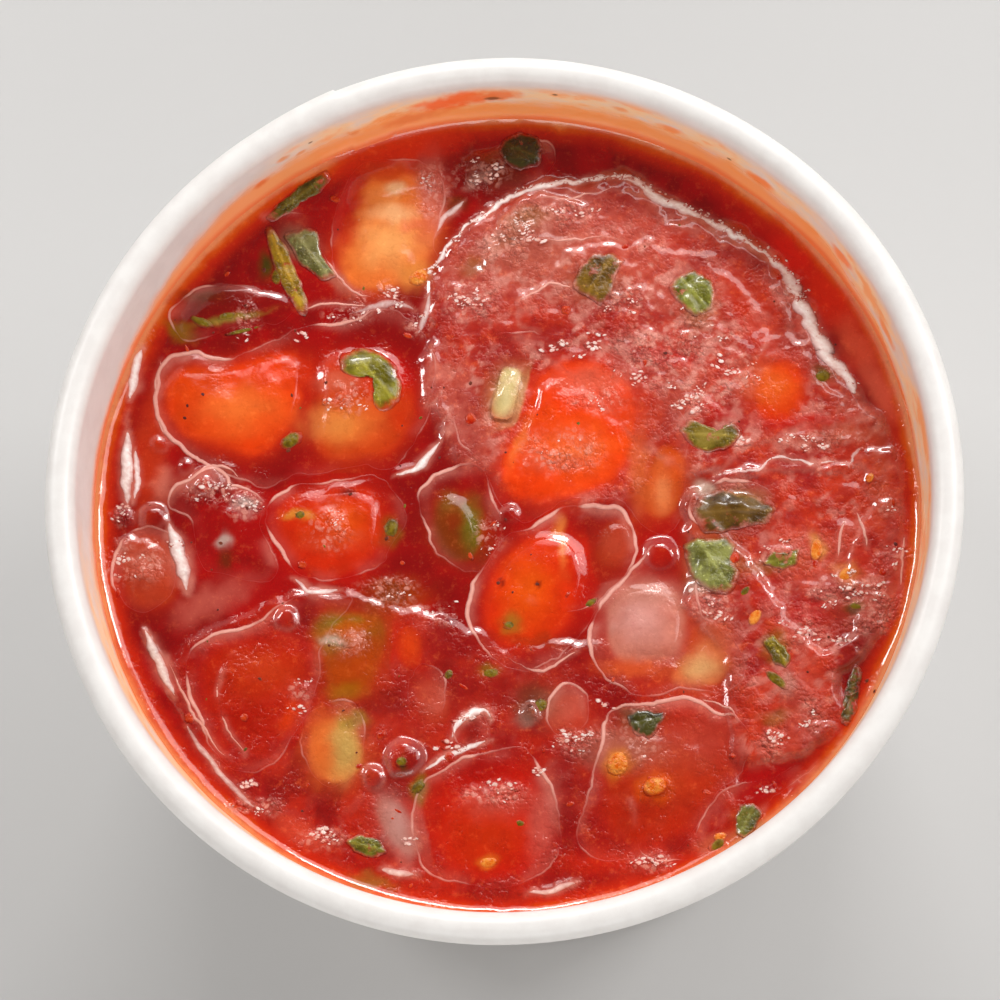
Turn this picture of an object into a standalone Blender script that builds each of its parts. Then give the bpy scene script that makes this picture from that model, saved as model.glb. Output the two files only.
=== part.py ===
"""Chunky tomato salsa in the squat white paper cup that it is served in.

The cup is a tapered paper side wall with a rolled rim and a lap seam, folded in at
the foot round the skirt of a raised base disc. It holds one body of sauce up to the
level shown, with diced tomato, onion, pepper and torn herb leaves standing in it.
Metres, +Z up, origin at the middle of the cup's foot. MM turns millimetres to metres.
"""

import math
from collections import namedtuple

import bmesh
import bpy
from mathutils import Euler, Vector, noise
from mathutils.bvhtree import BVHTree

MM = 0.001
GAP = 0.3 * MM

# Cup: sizes of the paper and of its rolled rim
RIM_RADIUS = 38.0 * MM
RIM_ROLL = 1.3 * MM
CUP_HEIGHT = 48.0 * MM
FOOT_RADIUS = 31.0 * MM
PAPER = 0.45 * MM
HEM_HEIGHT = 5.0 * MM
TURN_STEPS = 64
LAP_STEPS = 2
LAP_ANGLE = math.radians(112.5)
LAP_PROUD = 0.2 * MM

# Sizes that follow from the cup's own
ROLL_HEIGHT = CUP_HEIGHT - RIM_ROLL
MOUTH_RADIUS = RIM_RADIUS - 2 * RIM_ROLL
WALL_SLOPE = (MOUTH_RADIUS - (FOOT_RADIUS - PAPER)) / ROLL_HEIGHT
SKIRT_SLOT = PAPER + 2 * GAP
BASE_UNDERSIDE = HEM_HEIGHT + GAP
SAUCE_FLOOR = BASE_UNDERSIDE + PAPER + GAP

# Sauce: its level, how far it climbs the wall, and the pulp that stands above it
LEVEL = 40.2 * MM
CLIMB = 0.8 * MM
CLIMB_WIDTH = 1.1 * MM
SAUCE_CELLS = 38
RIPPLE = 0.12 * MM
RIPPLE_SIZE = 3.0 * MM
SHORE_WIDTH = 1.6 * MM

PulpMass = namedtuple("PulpMass", "rise shore")
# Each shore is walked round in millimetres from the cup's axis
PULP_MASSES = (
    PulpMass(0.9, ((-6, 21), (-4, 23.5), (0, 26), (5, 27.8), (10, 28.9), (13, 27.2), (17, 25),
                   (21.5, 22.5), (24, 19.5), (26, 16), (28.5, 12), (31, 9), (33, 5), (32, 2),
                   (17, 3), (6, -1), (-4, 4), (-7, 10))),
    PulpMass(1.3, ((15.5, 1.5), (20, 3.6), (29, 3.9), (31, 5), (33.5, 4.8), (34.2, -3),
                   (33.2, -9), (30, -12.5), (28, -14.5), (28, -19), (24, -22), (19, -22),
                   (18, -14), (15, -8))),
    PulpMass(0.5, ((-27, -12), (-28, -16), (-26.5, -20), (-21.5, -25.5), (-15, -30), (-8, -33),
                   (3, -34), (9, -33), (14, -31), (19, -27), (20, -18), (12, -12), (0, -12),
                   (-10, -8), (-20, -8))),
)

# The film of sauce swells round the pieces too, a little wider than each one
FILM_SWELLS = (
    # left pair
    PulpMass(0.8, ((-29.9, 10.8), (-29.8, 12.4), (-28.8, 13.5), (-26.7, 14), (-24.3, 13.3),
        (-22.4, 13.9), (-20.9, 14.5), (-19, 15.5), (-17.7, 16.2), (-15.1, 16.4), (-13, 16.8),
        (-11.3, 17.6), (-9.1, 17.2), (-7.4, 15.8), (-6.3, 13.8), (-6.1, 11.1), (-6.4, 8.4), (-7.6,
        5.8), (-9.1, 4), (-10.6, 3.3), (-11.9, 3.8), (-14.8, 3.3), (-17.8, 2.8), (-20.6, 1.8),
        (-22.9, 2.9), (-25.5, 3.9), (-28.1, 5.9), (-29.5, 7.7), (-30.1, 9.5))),
    # mid
    PulpMass(0.7, ((-20, 0.3), (-18.6, 1.4), (-16.5, 2.1), (-14, 2.4), (-11.6, 2.8), (-9.9,
        2.2), (-8.7, 0.5), (-8.5, -1.3), (-9.6, -3.4), (-10.9, -5.2), (-13, -6), (-15.1, -6.5),
        (-16.8, -6), (-18.1, -4.9), (-19.4, -3), (-20.2, -1.2))),
    # pepper
    PulpMass(0.5, ((-7.3, 1.3), (-6.5, 2.6), (-5.1, 3.3), (-3, 3.8), (-1.9, 3.1), (-1.3, 1.1),
        (-0.4, -0.6), (-0.2, -2.2), (-1, -3.9), (-1.7, -5.3), (-3.1, -5.6), (-4.6, -5), (-5.7,
        -3.9), (-6.5, -2.2), (-7.2, -0.4))),
    # centre
    PulpMass(0.8, ((-4.2, 11.8), (-3.1, 13.7), (-0.5, 15.1), (4.6, 15), (9.7, 12.7), (13.1,
        9.6), (15.6, 6.5), (15.3, 3.8), (15.1, 0.3), (13.7, -2.3), (12.2, -2.1), (11, -1), (9.7,
        0.3), (8, 0.4), (6.3, 0.6), (4.7, 0.4), (3.4, -0.3), (1.5, -1.2), (0, -0), (-1.1, 1.3),
        (-2.1, 4.1), (-3.8, 5.7), (-4.4, 8.8))),
    # speckled
    PulpMass(0.7, ((-0.6, -3.5), (0.6, -2.2), (2.1, -1.7), (3.6, -0.8), (4.8, -0.1), (6.8,
        -0.1), (8.4, -0.3), (9.7, -0.3), (10.6, -1.6), (11.1, -2.9), (11.2, -4.2), (10.5, -5.6),
        (9.3, -6.9), (8, -8.3), (7.2, -10), (5.9, -11.7), (3.8, -13.4), (1.4, -14.1), (-1.1, -13),
        (-2.8, -10.4), (-3, -7.8), (-2, -5.5))),
    # onion
    PulpMass(0.6, ((11.8, -4.6), (12.6, -3.4), (13.9, -3.2), (14.9, -3.6), (15.7, -5.3), (16.3,
        -8.4), (16.8, -9.9), (18, -10.8), (19.2, -12), (19.8, -13.9), (19.6, -15.6), (18.1, -16.2),
        (16.3, -15.9), (14.6, -15.8), (12.1, -16.2), (9.7, -15.8), (8, -14.5), (7.2, -12.2), (7.7,
        -9.3), (9, -7.5), (10.5, -5.9))),
    # low left
    PulpMass(0.7, ((-26.2, -16.3), (-26.6, -14.1), (-26.1, -12.4), (-24.8, -11.3), (-22.5,
        -10.5), (-20.3, -9.9), (-19.2, -8.6), (-17.1, -7.8), (-14.6, -7.7), (-12.9, -8.2), (-15.2,
        -11.6), (-15.5, -15), (-16.5, -17.6), (-17.7, -20.1), (-19.3, -22.2), (-21.8, -22.6),
        (-24.2, -20.9), (-25.2, -18.4))),
    # edge
    PulpMass(0.6, ((-32.8, -3.6), (-31.9, -2.2), (-30.2, -1.6), (-28.6, -1.9), (-27.9, -3.3),
        (-27.7, -5.1), (-28.1, -7.2), (-29.1, -8.5), (-30.8, -9), (-32.3, -8.1), (-33.2, -6.4),
        (-33.3, -4.8))),
    # left scraps
    PulpMass(0.4, ((-28.6, 1.3), (-27.4, 2.4), (-25.9, 2.9), (-24.9, 3.5), (-23.8, 3.2), (-23.2,
        2), (-21.6, 1.4), (-20.7, 0.6), (-20.7, -1.4), (-20, -3.4), (-19.2, -5.4), (-20.5, -6.6),
        (-23.5, -5.7), (-25.7, -5.1), (-26.1, -2.9), (-26.6, -1), (-28.2, -0))),
    # near
    PulpMass(0.7, ((-6.5, -23.3), (-5.4, -22.7), (-3.6, -21.7), (-1.1, -20.9), (1, -20.6), (2.2,
        -21), (2.9, -22.5), (3.9, -24.1), (4.5, -25.8), (4.8, -27.7), (4.5, -29.6), (3.5, -31),
        (1.4, -32.2), (-1, -32.5), (-3.5, -32), (-5.9, -31.2), (-7.1, -29.3), (-7.5, -26.9), (-7.3,
        -24.8))),
    # right
    PulpMass(0.7, ((8, -20.4), (8.4, -18.4), (9.2, -17.4), (11.3, -17), (13.8, -16.8), (15.4,
        -16.6), (17.4, -17.7), (19.1, -18.3), (20, -19.5), (20.3, -20.7), (19.8, -22.2), (19.3,
        -23.1), (18, -24.4), (16.5, -25.9), (15.5, -27.7), (14.2, -29.1), (11.7, -29.8), (9.2,
        -30.2), (7.2, -29.8), (6.2, -28.1), (6.5, -26.1), (7.2, -24), (7.7, -22.3))),
    # bump
    PulpMass(0.5, ((3.6, -18.5), (3.6, -17), (4.4, -15.8), (5.3, -15.4), (6.4, -15.8), (7,
        -17.3), (6.8, -18.8), (5.9, -19.6), (4.4, -19.6))),
    # pale
    PulpMass(0.6, ((-16.8, -20.6), (-16.8, -19.1), (-16.6, -17.8), (-14.8, -17.1), (-12.8,
        -16.9), (-11.7, -18.1), (-11.6, -20.1), (-12, -22.2), (-13, -23.6), (-14.3, -23.8), (-15.8,
        -22.9))),
    # rough
    PulpMass(0.5, ((-15.5, -9.3), (-13.3, -8.7), (-10, -9.1), (-9.3, -11.7), (-9.8, -15.1),
        (-11.1, -17.1), (-13.6, -17.1), (-15, -15.9), (-15.5, -12.5))),
    # far
    PulpMass(0.6, ((-15.1, 23.8), (-14.9, 26.6), (-14, 29.4), (-12.3, 31), (-9.3, 31.5), (-6.7,
        30.8), (-5.5, 28.8), (-5.8, 26), (-6.3, 23.7), (-5.7, 21.7), (-5.7, 19.9), (-7.1, 18.7),
        (-9.1, 19), (-11.3, 19.4), (-13.9, 19.6), (-14.9, 21.5))),
    # sunk leaf
    PulpMass(0.4, ((-28.8, 16.9), (-28.1, 18.5), (-26.8, 19.7), (-25.1, 20.1), (-23, 19.9),
        (-21, 19.5), (-19.1, 19.1), (-18.4, 17.9), (-19.8, 16.4), (-22.4, 16.5), (-25, 15.6),
        (-27.6, 15.1))),
    # near right
    PulpMass(0.5, ((16.2, -26.5), (17.5, -25.1), (19.2, -23.9), (21.8, -23.4), (24.4, -22.4),
        (25.4, -24.4), (21.9, -27.3), (18.6, -29.4), (16.5, -30.2), (15.7, -28.6))),
    # far leaf
    PulpMass(0.4, ((-3.6, 30.6), (-2.4, 31.8), (-0.2, 32.9), (2, 33.3), (3.9, 32.7), (4.2, 31),
        (2.9, 29.3), (0.7, 28.7), (-1.5, 28.3), (-3.2, 29))),
    # folded
    PulpMass(0.5, ((15.6, -1.4), (15.6, 0.3), (16.9, 1.4), (18.5, 2.2), (20.6, 2), (22.5, 1),
        (22.8, -0.8), (21.6, -2.2), (19.3, -2.5), (17.1, -2.3))),
)

# Small and rounded pieces: place of the middle and height of the top, length, width and
# depth in millimetres, turn and lean in degrees, and how square it is (2 is a ball)
Dice = namedtuple("Dice", "name x y top length width depth turn lean square kind")
DICE = (
    Dice("tomato_side_slice", 13.3, 2.0, 41.7, 3.4, 7.2, 6.0, -12, (0, 10), 3.0, "flesh"),
    Dice("tomato_bead", 23.2, 9.9, 41.85, 4.8, 6.6, 5.5, -14, (5, 0), 2.2, "tomato"),
    Dice("tomato_veiled", 9.2, -3.3, 41.7, 3.4, 5.0, 5.5, -24, (0, 6), 2.6, "tomato"),
    Dice("tomato_edge", -30.0, -5.4, 41.55, 5.6, 7.6, 6.0, 6, (0, -6), 2.6, "tomato"),
    Dice("tomato_pale", -14.0, -20.9, 41.6, 4.8, 6.2, 5.5, 6, (0, 5), 2.6, "flesh"),
    Dice("tomato_bump", 5.3, -18.0, 41.7, 4.0, 4.0, 4.5, 0, (0, 0), 2.2, "tomato"),
    Dice("tomato_scrap", -7.9, -12.2, 41.55, 2.4, 4.4, 4.0, 8, (0, 0), 2.2, "tomato"),
    Dice("tomato_lobe", -5.9, -17.0, 41.5, 3.0, 4.6, 4.0, 20, (0, 5), 2.2, "tomato"),
    Dice("onion_strip", -8.6, -27.3, 41.5, 2.4, 6.2, 3.5, 33, (4, 0), 2.8, "onion"),
)
DICE_CUTS = 2
DICE_UNEVEN = 0.1
DICE_LUMPS = 1.3
POCKET_WALLS = 14

# Larger pieces cut with a knife: height of the top, depth and crown in millimetres, how
# the top falls towards +X and +Y, and the cut's outline walked round from above
Cut = namedtuple("Cut", "name top depth crown fall kind outline")
CUTS = (
    Cut("tomato_far", 42.1, 7.5, 0.65, (0.04, -0.04), "flesh", (
        (-14.9, 23.5), (-14.7, 26.3), (-13.7, 28.6), (-11.8, 30.1), (-9, 30.5), (-6.8, 29.4),
        (-6, 26.7), (-6.2, 23.2), (-7.5, 21.3), (-10.1, 19.5), (-13.1, 19.3), (-14.3, 21))),
    Cut("tomato_left", 41.9, 8.5, 0.55, (0.02, -0.06), "tomato", (
        (-29.4, 10.3), (-29.2, 11.9), (-27.8, 12.7), (-25, 12.5), (-22.6, 12.9), (-20.3, 13.8),
        (-17.9, 14.1), (-17.1, 12.6), (-17.1, 9.8), (-17.7, 8.2), (-18.9, 6.4), (-20, 4.8),
        (-21.6, 4.5), (-24.7, 5.6), (-27.6, 6.3), (-28.9, 8.1))),
    Cut("tomato_mid_left", 41.85, 8.5, 0.5, (-0.03, -0.06), "tomato", (
        (-16, 13.2), (-14.5, 13.9), (-11.6, 14.2), (-9.1, 13.3), (-8, 11.3), (-7.7, 8.1),
        (-8.5, 5.7), (-10.2, 4.3), (-13.1, 3.9), (-15.6, 4.2), (-16.4, 5.4), (-16.2, 7.3),
        (-16, 8.9), (-16.1, 11.2))),
    Cut("tomato_centre", 42.1, 9.0, 0.65, (0.03, -0.05), "tomato", (
        (2.5, 11.3), (4.7, 12.9), (8.1, 12.7), (10.4, 11.2), (11.3, 8.7), (11.1, 6.1),
        (10.4, 3.6), (9, 1.7), (6, 0.8), (3, 0.1), (0.7, 0.5), (-0.5, 2.2), (-0.3, 4.8),
        (1.1, 6.5), (2, 8.8))),
    Cut("tomato_mid", 41.8, 8.0, 0.5, (-0.03, -0.05), "tomato", (
        (-19.6, -0.4), (-18.3, 1.1), (-14.9, 1.8), (-11.9, 1.9), (-10.5, 1), (-10.2, -1.1),
        (-10.6, -3.7), (-11.7, -5.1), (-14.1, -6.2), (-16.4, -5.9), (-18.2, -4.2), (-19.3, -2.3))),
    Cut("tomato_speckled", 42.0, 8.5, 0.65, (-0.05, -0.03), "tomato", (
        (3.5, -2.1), (5.5, -2.4), (6.8, -4), (7, -6.4), (6.3, -8.9), (4.7, -10.9), (2.2, -12.3),
        (-0.3, -12.3), (-1.7, -11.1), (-2, -9), (-1.5, -6.5), (0.2, -4.2), (1.8, -2.7))),
    Cut("tomato_low_left", 41.55, 8.0, 0.5, (0.02, -0.02), "tomato", (
        (-25.8, -13.5), (-24.2, -11.7), (-21.2, -11), (-18, -11.3), (-16.5, -12.5),
        (-16.2, -15.5), (-17, -18.3), (-18.5, -20), (-21.3, -20.3), (-23.8, -19.2),
        (-25.3, -17.3))),
    Cut("tomato_near", 41.75, 8.5, 0.65, (0.05, 0.04), "tomato", (
        (-5.8, -24.2), (-4.7, -22.8), (-1.9, -21.7), (1, -21.3), (2.4, -22.5), (3.5, -24.5),
        (4.1, -27), (3.8, -29.5), (1.9, -31.2), (-1.3, -31.9), (-4.1, -31.2), (-5.3, -29.5),
        (-6, -26.7))),
    Cut("tomato_right", 41.8, 8.5, 0.65, (0.04, -0.03), "tomato", (
        (8.7, -20.1), (9.7, -18.2), (12.8, -17.6), (16.1, -17.9), (18.5, -19), (19.4, -20.8),
        (19, -22.9), (17.3, -25), (16.1, -27.1), (14.4, -28.5), (11.3, -29.1), (8.9, -28.2),
        (8.1, -25.8), (8.3, -22.9))),
    Cut("tomato_rough", 41.6, 6.0, 0.4, (0.0, -0.04), "flesh", (
        (-15.2, -9.7), (-12.9, -9.1), (-10.5, -9.4), (-9.7, -11.3), (-10.3, -13.8),
        (-11.2, -16.3), (-13.1, -16.8), (-14.7, -15.9), (-15.3, -13))),
    Cut("pepper_mid", 41.5, 5.0, 0.4, (0.04, 0.0), "pepper", (
        (-6.1, 0.2), (-4.8, 1.2), (-3.2, 0.7), (-2.2, -0.9), (-2, -3), (-3, -4.8),
        (-4.6, -4.7), (-5.7, -3.5), (-6.2, -1.6))),
    Cut("onion_dice", 41.8, 7.0, 0.4, (0.03, -0.04), "onion", (
        (8.5, -8.7), (9.9, -7.1), (12.6, -6.7), (14.6, -7.3), (15.3, -9.1), (15.1, -11.5),
        (14.4, -13.1), (12.2, -13.7), (9.8, -13.6), (8.5, -11.9))),
    Cut("onion_corner", 41.6, 5.0, 0.4, (0.05, -0.03), "onion", (
        (16.1, -11.5), (17.1, -11.3), (18.3, -12.4), (18.9, -13.9), (18.1, -15.3),
        (16.1, -15.7), (14.1, -15.4), (13.6, -14.6), (15.1, -13.6), (15.9, -12.6))),
    Cut("onion_stick", 42.1, 2.8, 0.2, (0.0, 0.02), "onion", (
        (-0.35, 12.2), (-0.05, 12.4), (1.25, 12.1), (1.45, 11.8), (0.55, 7.7), (0.25, 7.5),
        (-1.05, 7.8), (-1.25, 8.1))),
)
# Rings of a cut piece: size there, share of the crown and share of the body passed
CUT_RINGS = (
    (0.5, 0.2, 0.0),
    (0.84, 0.7, 0.0),
    (0.96, 1.0, 0.07),
    (1.0, 1.0, 0.25),
    (0.97, 1.0, 0.7),
    (0.82, 1.0, 1.0),
)
CUT_UNEVEN = 0.03

# Herb leaves and stems: middle, length and width in millimetres, turn in degrees, how
# deep its lobes are cut, how many there are, and the height of its wave
Leaf = namedtuple("Leaf", "name x y length width turn cut lobes wave")
LEAVES = (
    Leaf("leaf_far", 1.2, 31.5, 3.4, 2.9, 20, 0.22, 3, 0.25),
    Leaf("leaf_wall", -18.0, 28.0, 3.6, 1.4, 31, 0.1, 2, 0.1),
    Leaf("leaf_far_left", -16.3, 22.2, 3.2, 4.6, 16, 0.18, 3, 0.25),
    Leaf("leaf_curl", -11.7, 11.1, 5.2, 3.6, -38, 0.3, 3, 0.2),
    Leaf("leaf_far_right", 7.8, 20.4, 4.2, 3.9, 8, 0.2, 3, 0.25),
    Leaf("leaf_bright", 15.9, 18.7, 4.2, 4.2, -20, 0.16, 3, 0.25),
    Leaf("leaf_centre_right", 17.1, 6.2, 5.0, 2.8, 10, 0.25, 4, 0.2),
    Leaf("leaf_folded", 19.3, -0.3, 6.2, 3.6, -14, 0.18, 4, 0.3),
    Leaf("leaf_beside_onion", 17.8, -5.5, 4.4, 5.6, 24, 0.25, 4, 0.25),
    Leaf("leaf_small_right", 23.4, -4.8, 3.0, 1.7, 12, 0.2, 3, 0.15),
    Leaf("leaf_right_edge", 28.6, -16.2, 1.7, 5.0, -22, 0.12, 2, 0.15),
    Leaf("leaf_near_right", 19.9, -26.2, 2.4, 3.2, -24, 0.2, 3, 0.2),
    Leaf("leaf_near_left", -11.7, -28.9, 3.6, 1.8, -24, 0.15, 2, 0.15),
    Leaf("leaf_on_tomato", 12.1, -18.8, 3.4, 1.9, 8, 0.18, 3, 0.15),
    Leaf("stem_far_left", -19.3, 21.0, 1.1, 7.8, 20, 0.0, 1, 0.1),
    Leaf("stem_right", 22.7, -12.8, 1.3, 4.4, 22, 0.0, 1, 0.1),
)
LEAF_THICK = 0.35 * MM
LEAF_SIDES = 10
LEAF_RINGS = (0.55, 1.0)
LEAF_LIFT = 1.3 * GAP
LEAF_BRIDGE = 0.8 * MM
# Turns of the wave, in radians a metre along X and along Y
WAVE_X = 1400.0
WAVE_Y = 900.0

# Tomato seeds lie fused on the piece that carries them: node, place and turn
Seed = namedtuple("Seed", "node x y turn")
SEEDS = (
    Seed("tomato_far", -8.8, 22.0, 30),
    Seed("sauce", 26.1, -4.0, 80),
    Seed("sauce", 28.4, -6.2, 40),
    Seed("sauce", 20.6, -9.8, 60),
    Seed("tomato_right", 9.5, -22.1, 70),
    Seed("tomato_right", 12.5, -24.2, 20),
    Seed("tomato_near", -1.2, -30.2, 10),
)
SEED_LENGTH = 2.8 * MM
SEED_WIDTH = 2.0 * MM
SEED_THICK = 1.1 * MM
SEED_TAPER = 0.5
SEED_PROUD = 0.12 * SEED_THICK

COLOURS = {
    "paper": ((0.93, 0.91, 0.88), 0.6),
    "sauce": ((0.52, 0.03, 0.012), 0.2),
    "tomato": ((0.75, 0.09, 0.03), 0.25),
    "flesh": ((0.85, 0.32, 0.12), 0.25),
    "onion": ((0.78, 0.55, 0.42), 0.25),
    "pepper": ((0.2, 0.14, 0.04), 0.3),
    "leaf": ((0.1, 0.17, 0.03), 0.4),
}


def clear_scene():
    for old in list(bpy.data.objects):
        bpy.data.objects.remove(old, do_unlink=True)


def new_collection(name):
    group = bpy.data.collections.new(name)
    bpy.context.scene.collection.children.link(group)
    return group


def material(node, kind):
    """Each piece's own Principled material, in the colour of its kind."""
    colour, roughness = COLOURS[kind]
    skin = bpy.data.materials.new(node)
    skin.use_nodes = True
    shader = skin.node_tree.nodes["Principled BSDF"]
    shader.inputs["Base Color"].default_value = (*colour, 1.0)
    shader.inputs["Roughness"].default_value = roughness
    shader.inputs["Metallic"].default_value = 0.0
    return skin


def add_object(name, mesh_data, kind, group):
    piece = bpy.data.objects.new(name, mesh_data)
    piece.data.materials.clear()
    piece.data.materials.append(material(name, kind))
    piece.data.shade_smooth()
    piece.data.set_sharp_from_angle(angle=math.radians(50))
    group.objects.link(piece)
    return piece


def mesh_of(name, bm):
    data = bpy.data.meshes.new(name)
    bm.to_mesh(data)
    bm.free()
    return data


def apply_modifiers(piece):
    """Puts the evaluated mesh in place of the modifiers."""
    bpy.context.view_layer.update()
    graph = bpy.context.evaluated_depsgraph_get()
    data = bpy.data.meshes.new_from_object(piece.evaluated_get(graph))
    piece.modifiers.clear()
    piece.data = data


# Cup: turned profiles

def wall_radius(height):
    """Inner radius of the side wall."""
    return MOUTH_RADIUS - (ROLL_HEIGHT - height) * WALL_SLOPE


def roll_arc(radius, first, last, count):
    """Points on the rolled rim's section, from one angle to another in degrees."""
    middle = RIM_RADIUS - RIM_ROLL
    points = []
    for step in range(count):
        angle = math.radians(first + (last - first) * step / (count - 1))
        points.append((middle + radius * math.cos(angle), ROLL_HEIGHT + radius * math.sin(angle)))
    return points


def beside_wall(offset, height):
    return (wall_radius(height) + offset, height)


def wall_profile():
    """Rolled rim, down the outside, round the folded hem, and up the inside."""
    foot = 0.3 * MM
    hem_outside = -SKIRT_SLOT
    hem_inside = -SKIRT_SLOT - PAPER
    profile = roll_arc(RIM_ROLL, 180, -140, 10)
    profile += [
        beside_wall(PAPER, foot),
        beside_wall(PAPER - foot / 2, 0.0),
        beside_wall(hem_inside + foot / 2, 0.0),
        beside_wall(hem_inside, foot),
        beside_wall(hem_inside, HEM_HEIGHT),
        beside_wall(hem_outside, HEM_HEIGHT),
        beside_wall(hem_outside, PAPER),
        beside_wall(0.0, PAPER),
    ]
    return profile


def lap_profile():
    """The doubled paper at the side seam, just proud of the wall and the rim."""
    bury = 0.15 * MM
    under_roll = -120
    profile = roll_arc(RIM_ROLL + LAP_PROUD, 100, under_roll, 8)
    profile += [
        beside_wall(PAPER + LAP_PROUD, 0.5 * MM),
        beside_wall(PAPER - bury, 0.5 * MM),
        beside_wall(PAPER - bury, ROLL_HEIGHT - 0.8 * MM),
    ]
    profile += roll_arc(RIM_ROLL - bury, under_roll, 100, 8)
    return profile


def base_profile():
    """Raised disc with its skirt turned down into the hem."""
    top = BASE_UNDERSIDE + PAPER
    edge = 0.25 * MM
    skirt_foot = PAPER + GAP
    return [
        (0.0, top),
        beside_wall(-GAP - edge, top),
        beside_wall(-GAP, top - edge),
        beside_wall(-GAP, skirt_foot),
        beside_wall(-GAP - PAPER, skirt_foot),
        beside_wall(-GAP - PAPER, BASE_UNDERSIDE),
        (0.0, BASE_UNDERSIDE),
    ]


def turned(name, profile, closed, kind, group, steps=TURN_STEPS, sweep=2 * math.pi):
    """A profile with a Screw modifier about the cup's axis."""
    bm = bmesh.new()
    points = [bm.verts.new((radius, 0.0, height)) for radius, height in profile]
    pairs = list(zip(points, points[1:]))
    if closed:
        pairs.append((points[-1], points[0]))
    for start, end in pairs:
        bm.edges.new((start, end))
    piece = add_object(name, mesh_of(name, bm), kind, group)
    screw = piece.modifiers.new("turn", "SCREW")
    screw.angle = sweep
    screw.steps = steps
    screw.render_steps = steps
    screw.use_merge_vertices = steps == TURN_STEPS
    screw.merge_threshold = 0.00001
    screw.use_normal_calculate = True
    return piece


def lap_seam(cutters):
    """A closed strip over two steps of the turned wall, capped at both ends."""
    strip = turned("lap_seam", lap_profile(), True, "paper", cutters, LAP_STEPS,
                   LAP_STEPS * 2 * math.pi / TURN_STEPS)
    apply_modifiers(strip)
    bm = bmesh.new()
    bm.from_mesh(strip.data)
    bmesh.ops.holes_fill(bm, edges=[edge for edge in bm.edges if edge.is_boundary], sides=0)
    bmesh.ops.recalc_face_normals(bm, faces=bm.faces)
    bm.to_mesh(strip.data)
    bm.free()
    strip.rotation_euler.z = LAP_ANGLE
    return strip


def boolean(piece, operation, other):
    """An EXACT Boolean with one object or with a whole collection."""
    joint = piece.modifiers.new(operation.lower(), "BOOLEAN")
    joint.operation = operation
    joint.solver = "EXACT"
    if isinstance(other, bpy.types.Collection):
        joint.operand_type = "COLLECTION"
        joint.collection = other
    else:
        joint.object = other
    return joint


def build_cup(group, cutters):
    wall = turned("cup_wall", wall_profile(), True, "paper", group)
    apply_modifiers(wall)
    strip = lap_seam(cutters)
    boolean(wall, "UNION", strip)
    apply_modifiers(wall)
    bpy.data.objects.remove(strip, do_unlink=True)
    turned("cup_base", base_profile(), False, "paper", group)


# Sauce: the body of liquid with its relief

def inside_distance(x, y, shore):
    """Distance to a closed outline, positive inside it."""
    nearest = 1e9
    inside = False
    for (x0, y0), (x1, y1) in zip(shore, shore[1:] + shore[:1]):
        along = ((x - x0) * (x1 - x0) + (y - y0) * (y1 - y0)) / ((x1 - x0) ** 2 + (y1 - y0) ** 2)
        along = min(1.0, max(0.0, along))
        nearest = min(nearest, math.hypot(x - x0 - along * (x1 - x0), y - y0 - along * (y1 - y0)))
        if (y0 > y) != (y1 > y) and x < x0 + (y - y0) * (x1 - x0) / (y1 - y0):
            inside = not inside
    return nearest if inside else -nearest


def smooth_step(value):
    value = min(1.0, max(0.0, value))
    return value * value * (3 - 2 * value)


def sauce_height(x, y):
    """Level, climb at the wall, raised pulp and a fine ripple, at a place in metres."""
    to_wall = wall_radius(LEVEL) - math.hypot(x, y)
    height = LEVEL + CLIMB * math.exp(-max(0.0, to_wall) / CLIMB_WIDTH)
    rise = 0.0
    for mass in PULP_MASSES + FILM_SWELLS:
        inside = inside_distance(x / MM, y / MM, mass.shore) * MM
        rise = max(rise, mass.rise * MM * smooth_step(0.5 + inside / SHORE_WIDTH))
    fade = smooth_step(to_wall / (2 * CLIMB_WIDTH))
    ripple = RIPPLE * noise.noise(Vector((x, y, 0.0)) / RIPPLE_SIZE)
    return height + fade * (rise + ripple)


def round_grid(x, y):
    """Moves a point of the square from -1 to 1 on to the unit disc, cells kept even."""
    if x == 0.0 and y == 0.0:
        return 0.0, 0.0
    if abs(x) > abs(y):
        radius, angle = x, (math.pi / 4) * (y / x)
    else:
        radius, angle = y, math.pi / 2 - (math.pi / 4) * (x / y)
    return radius * math.cos(angle), radius * math.sin(angle)


def sauce_mesh():
    """A round grid for the surface, its edge drawn down the wall to the cup's floor."""
    bm = bmesh.new()
    bmesh.ops.create_grid(bm, x_segments=SAUCE_CELLS, y_segments=SAUCE_CELLS, size=1.0)
    shore_height = LEVEL + CLIMB
    surface_radius = wall_radius(shore_height) - GAP
    for vert in bm.verts:
        x, y = round_grid(vert.co.x, vert.co.y)
        vert.co = (x * surface_radius, y * surface_radius, 0.0)
        vert.co.z = sauce_height(vert.co.x, vert.co.y)
    rim = [edge for edge in bm.edges if edge.is_boundary]
    drawn = bmesh.ops.extrude_edge_only(bm, edges=rim)["geom"]
    floor_scale = (wall_radius(SAUCE_FLOOR) - GAP) / surface_radius
    for vert in (item for item in drawn if isinstance(item, bmesh.types.BMVert)):
        vert.co = (vert.co.x * floor_scale, vert.co.y * floor_scale, SAUCE_FLOOR)
    open_edges = [edge for edge in bm.edges if edge.is_boundary]
    bmesh.ops.contextual_create(bm, geom=open_edges)
    bmesh.ops.recalc_face_normals(bm, faces=bm.faces)
    return mesh_of("sauce", bm)


# Diced pieces and the pockets they stand in

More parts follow.
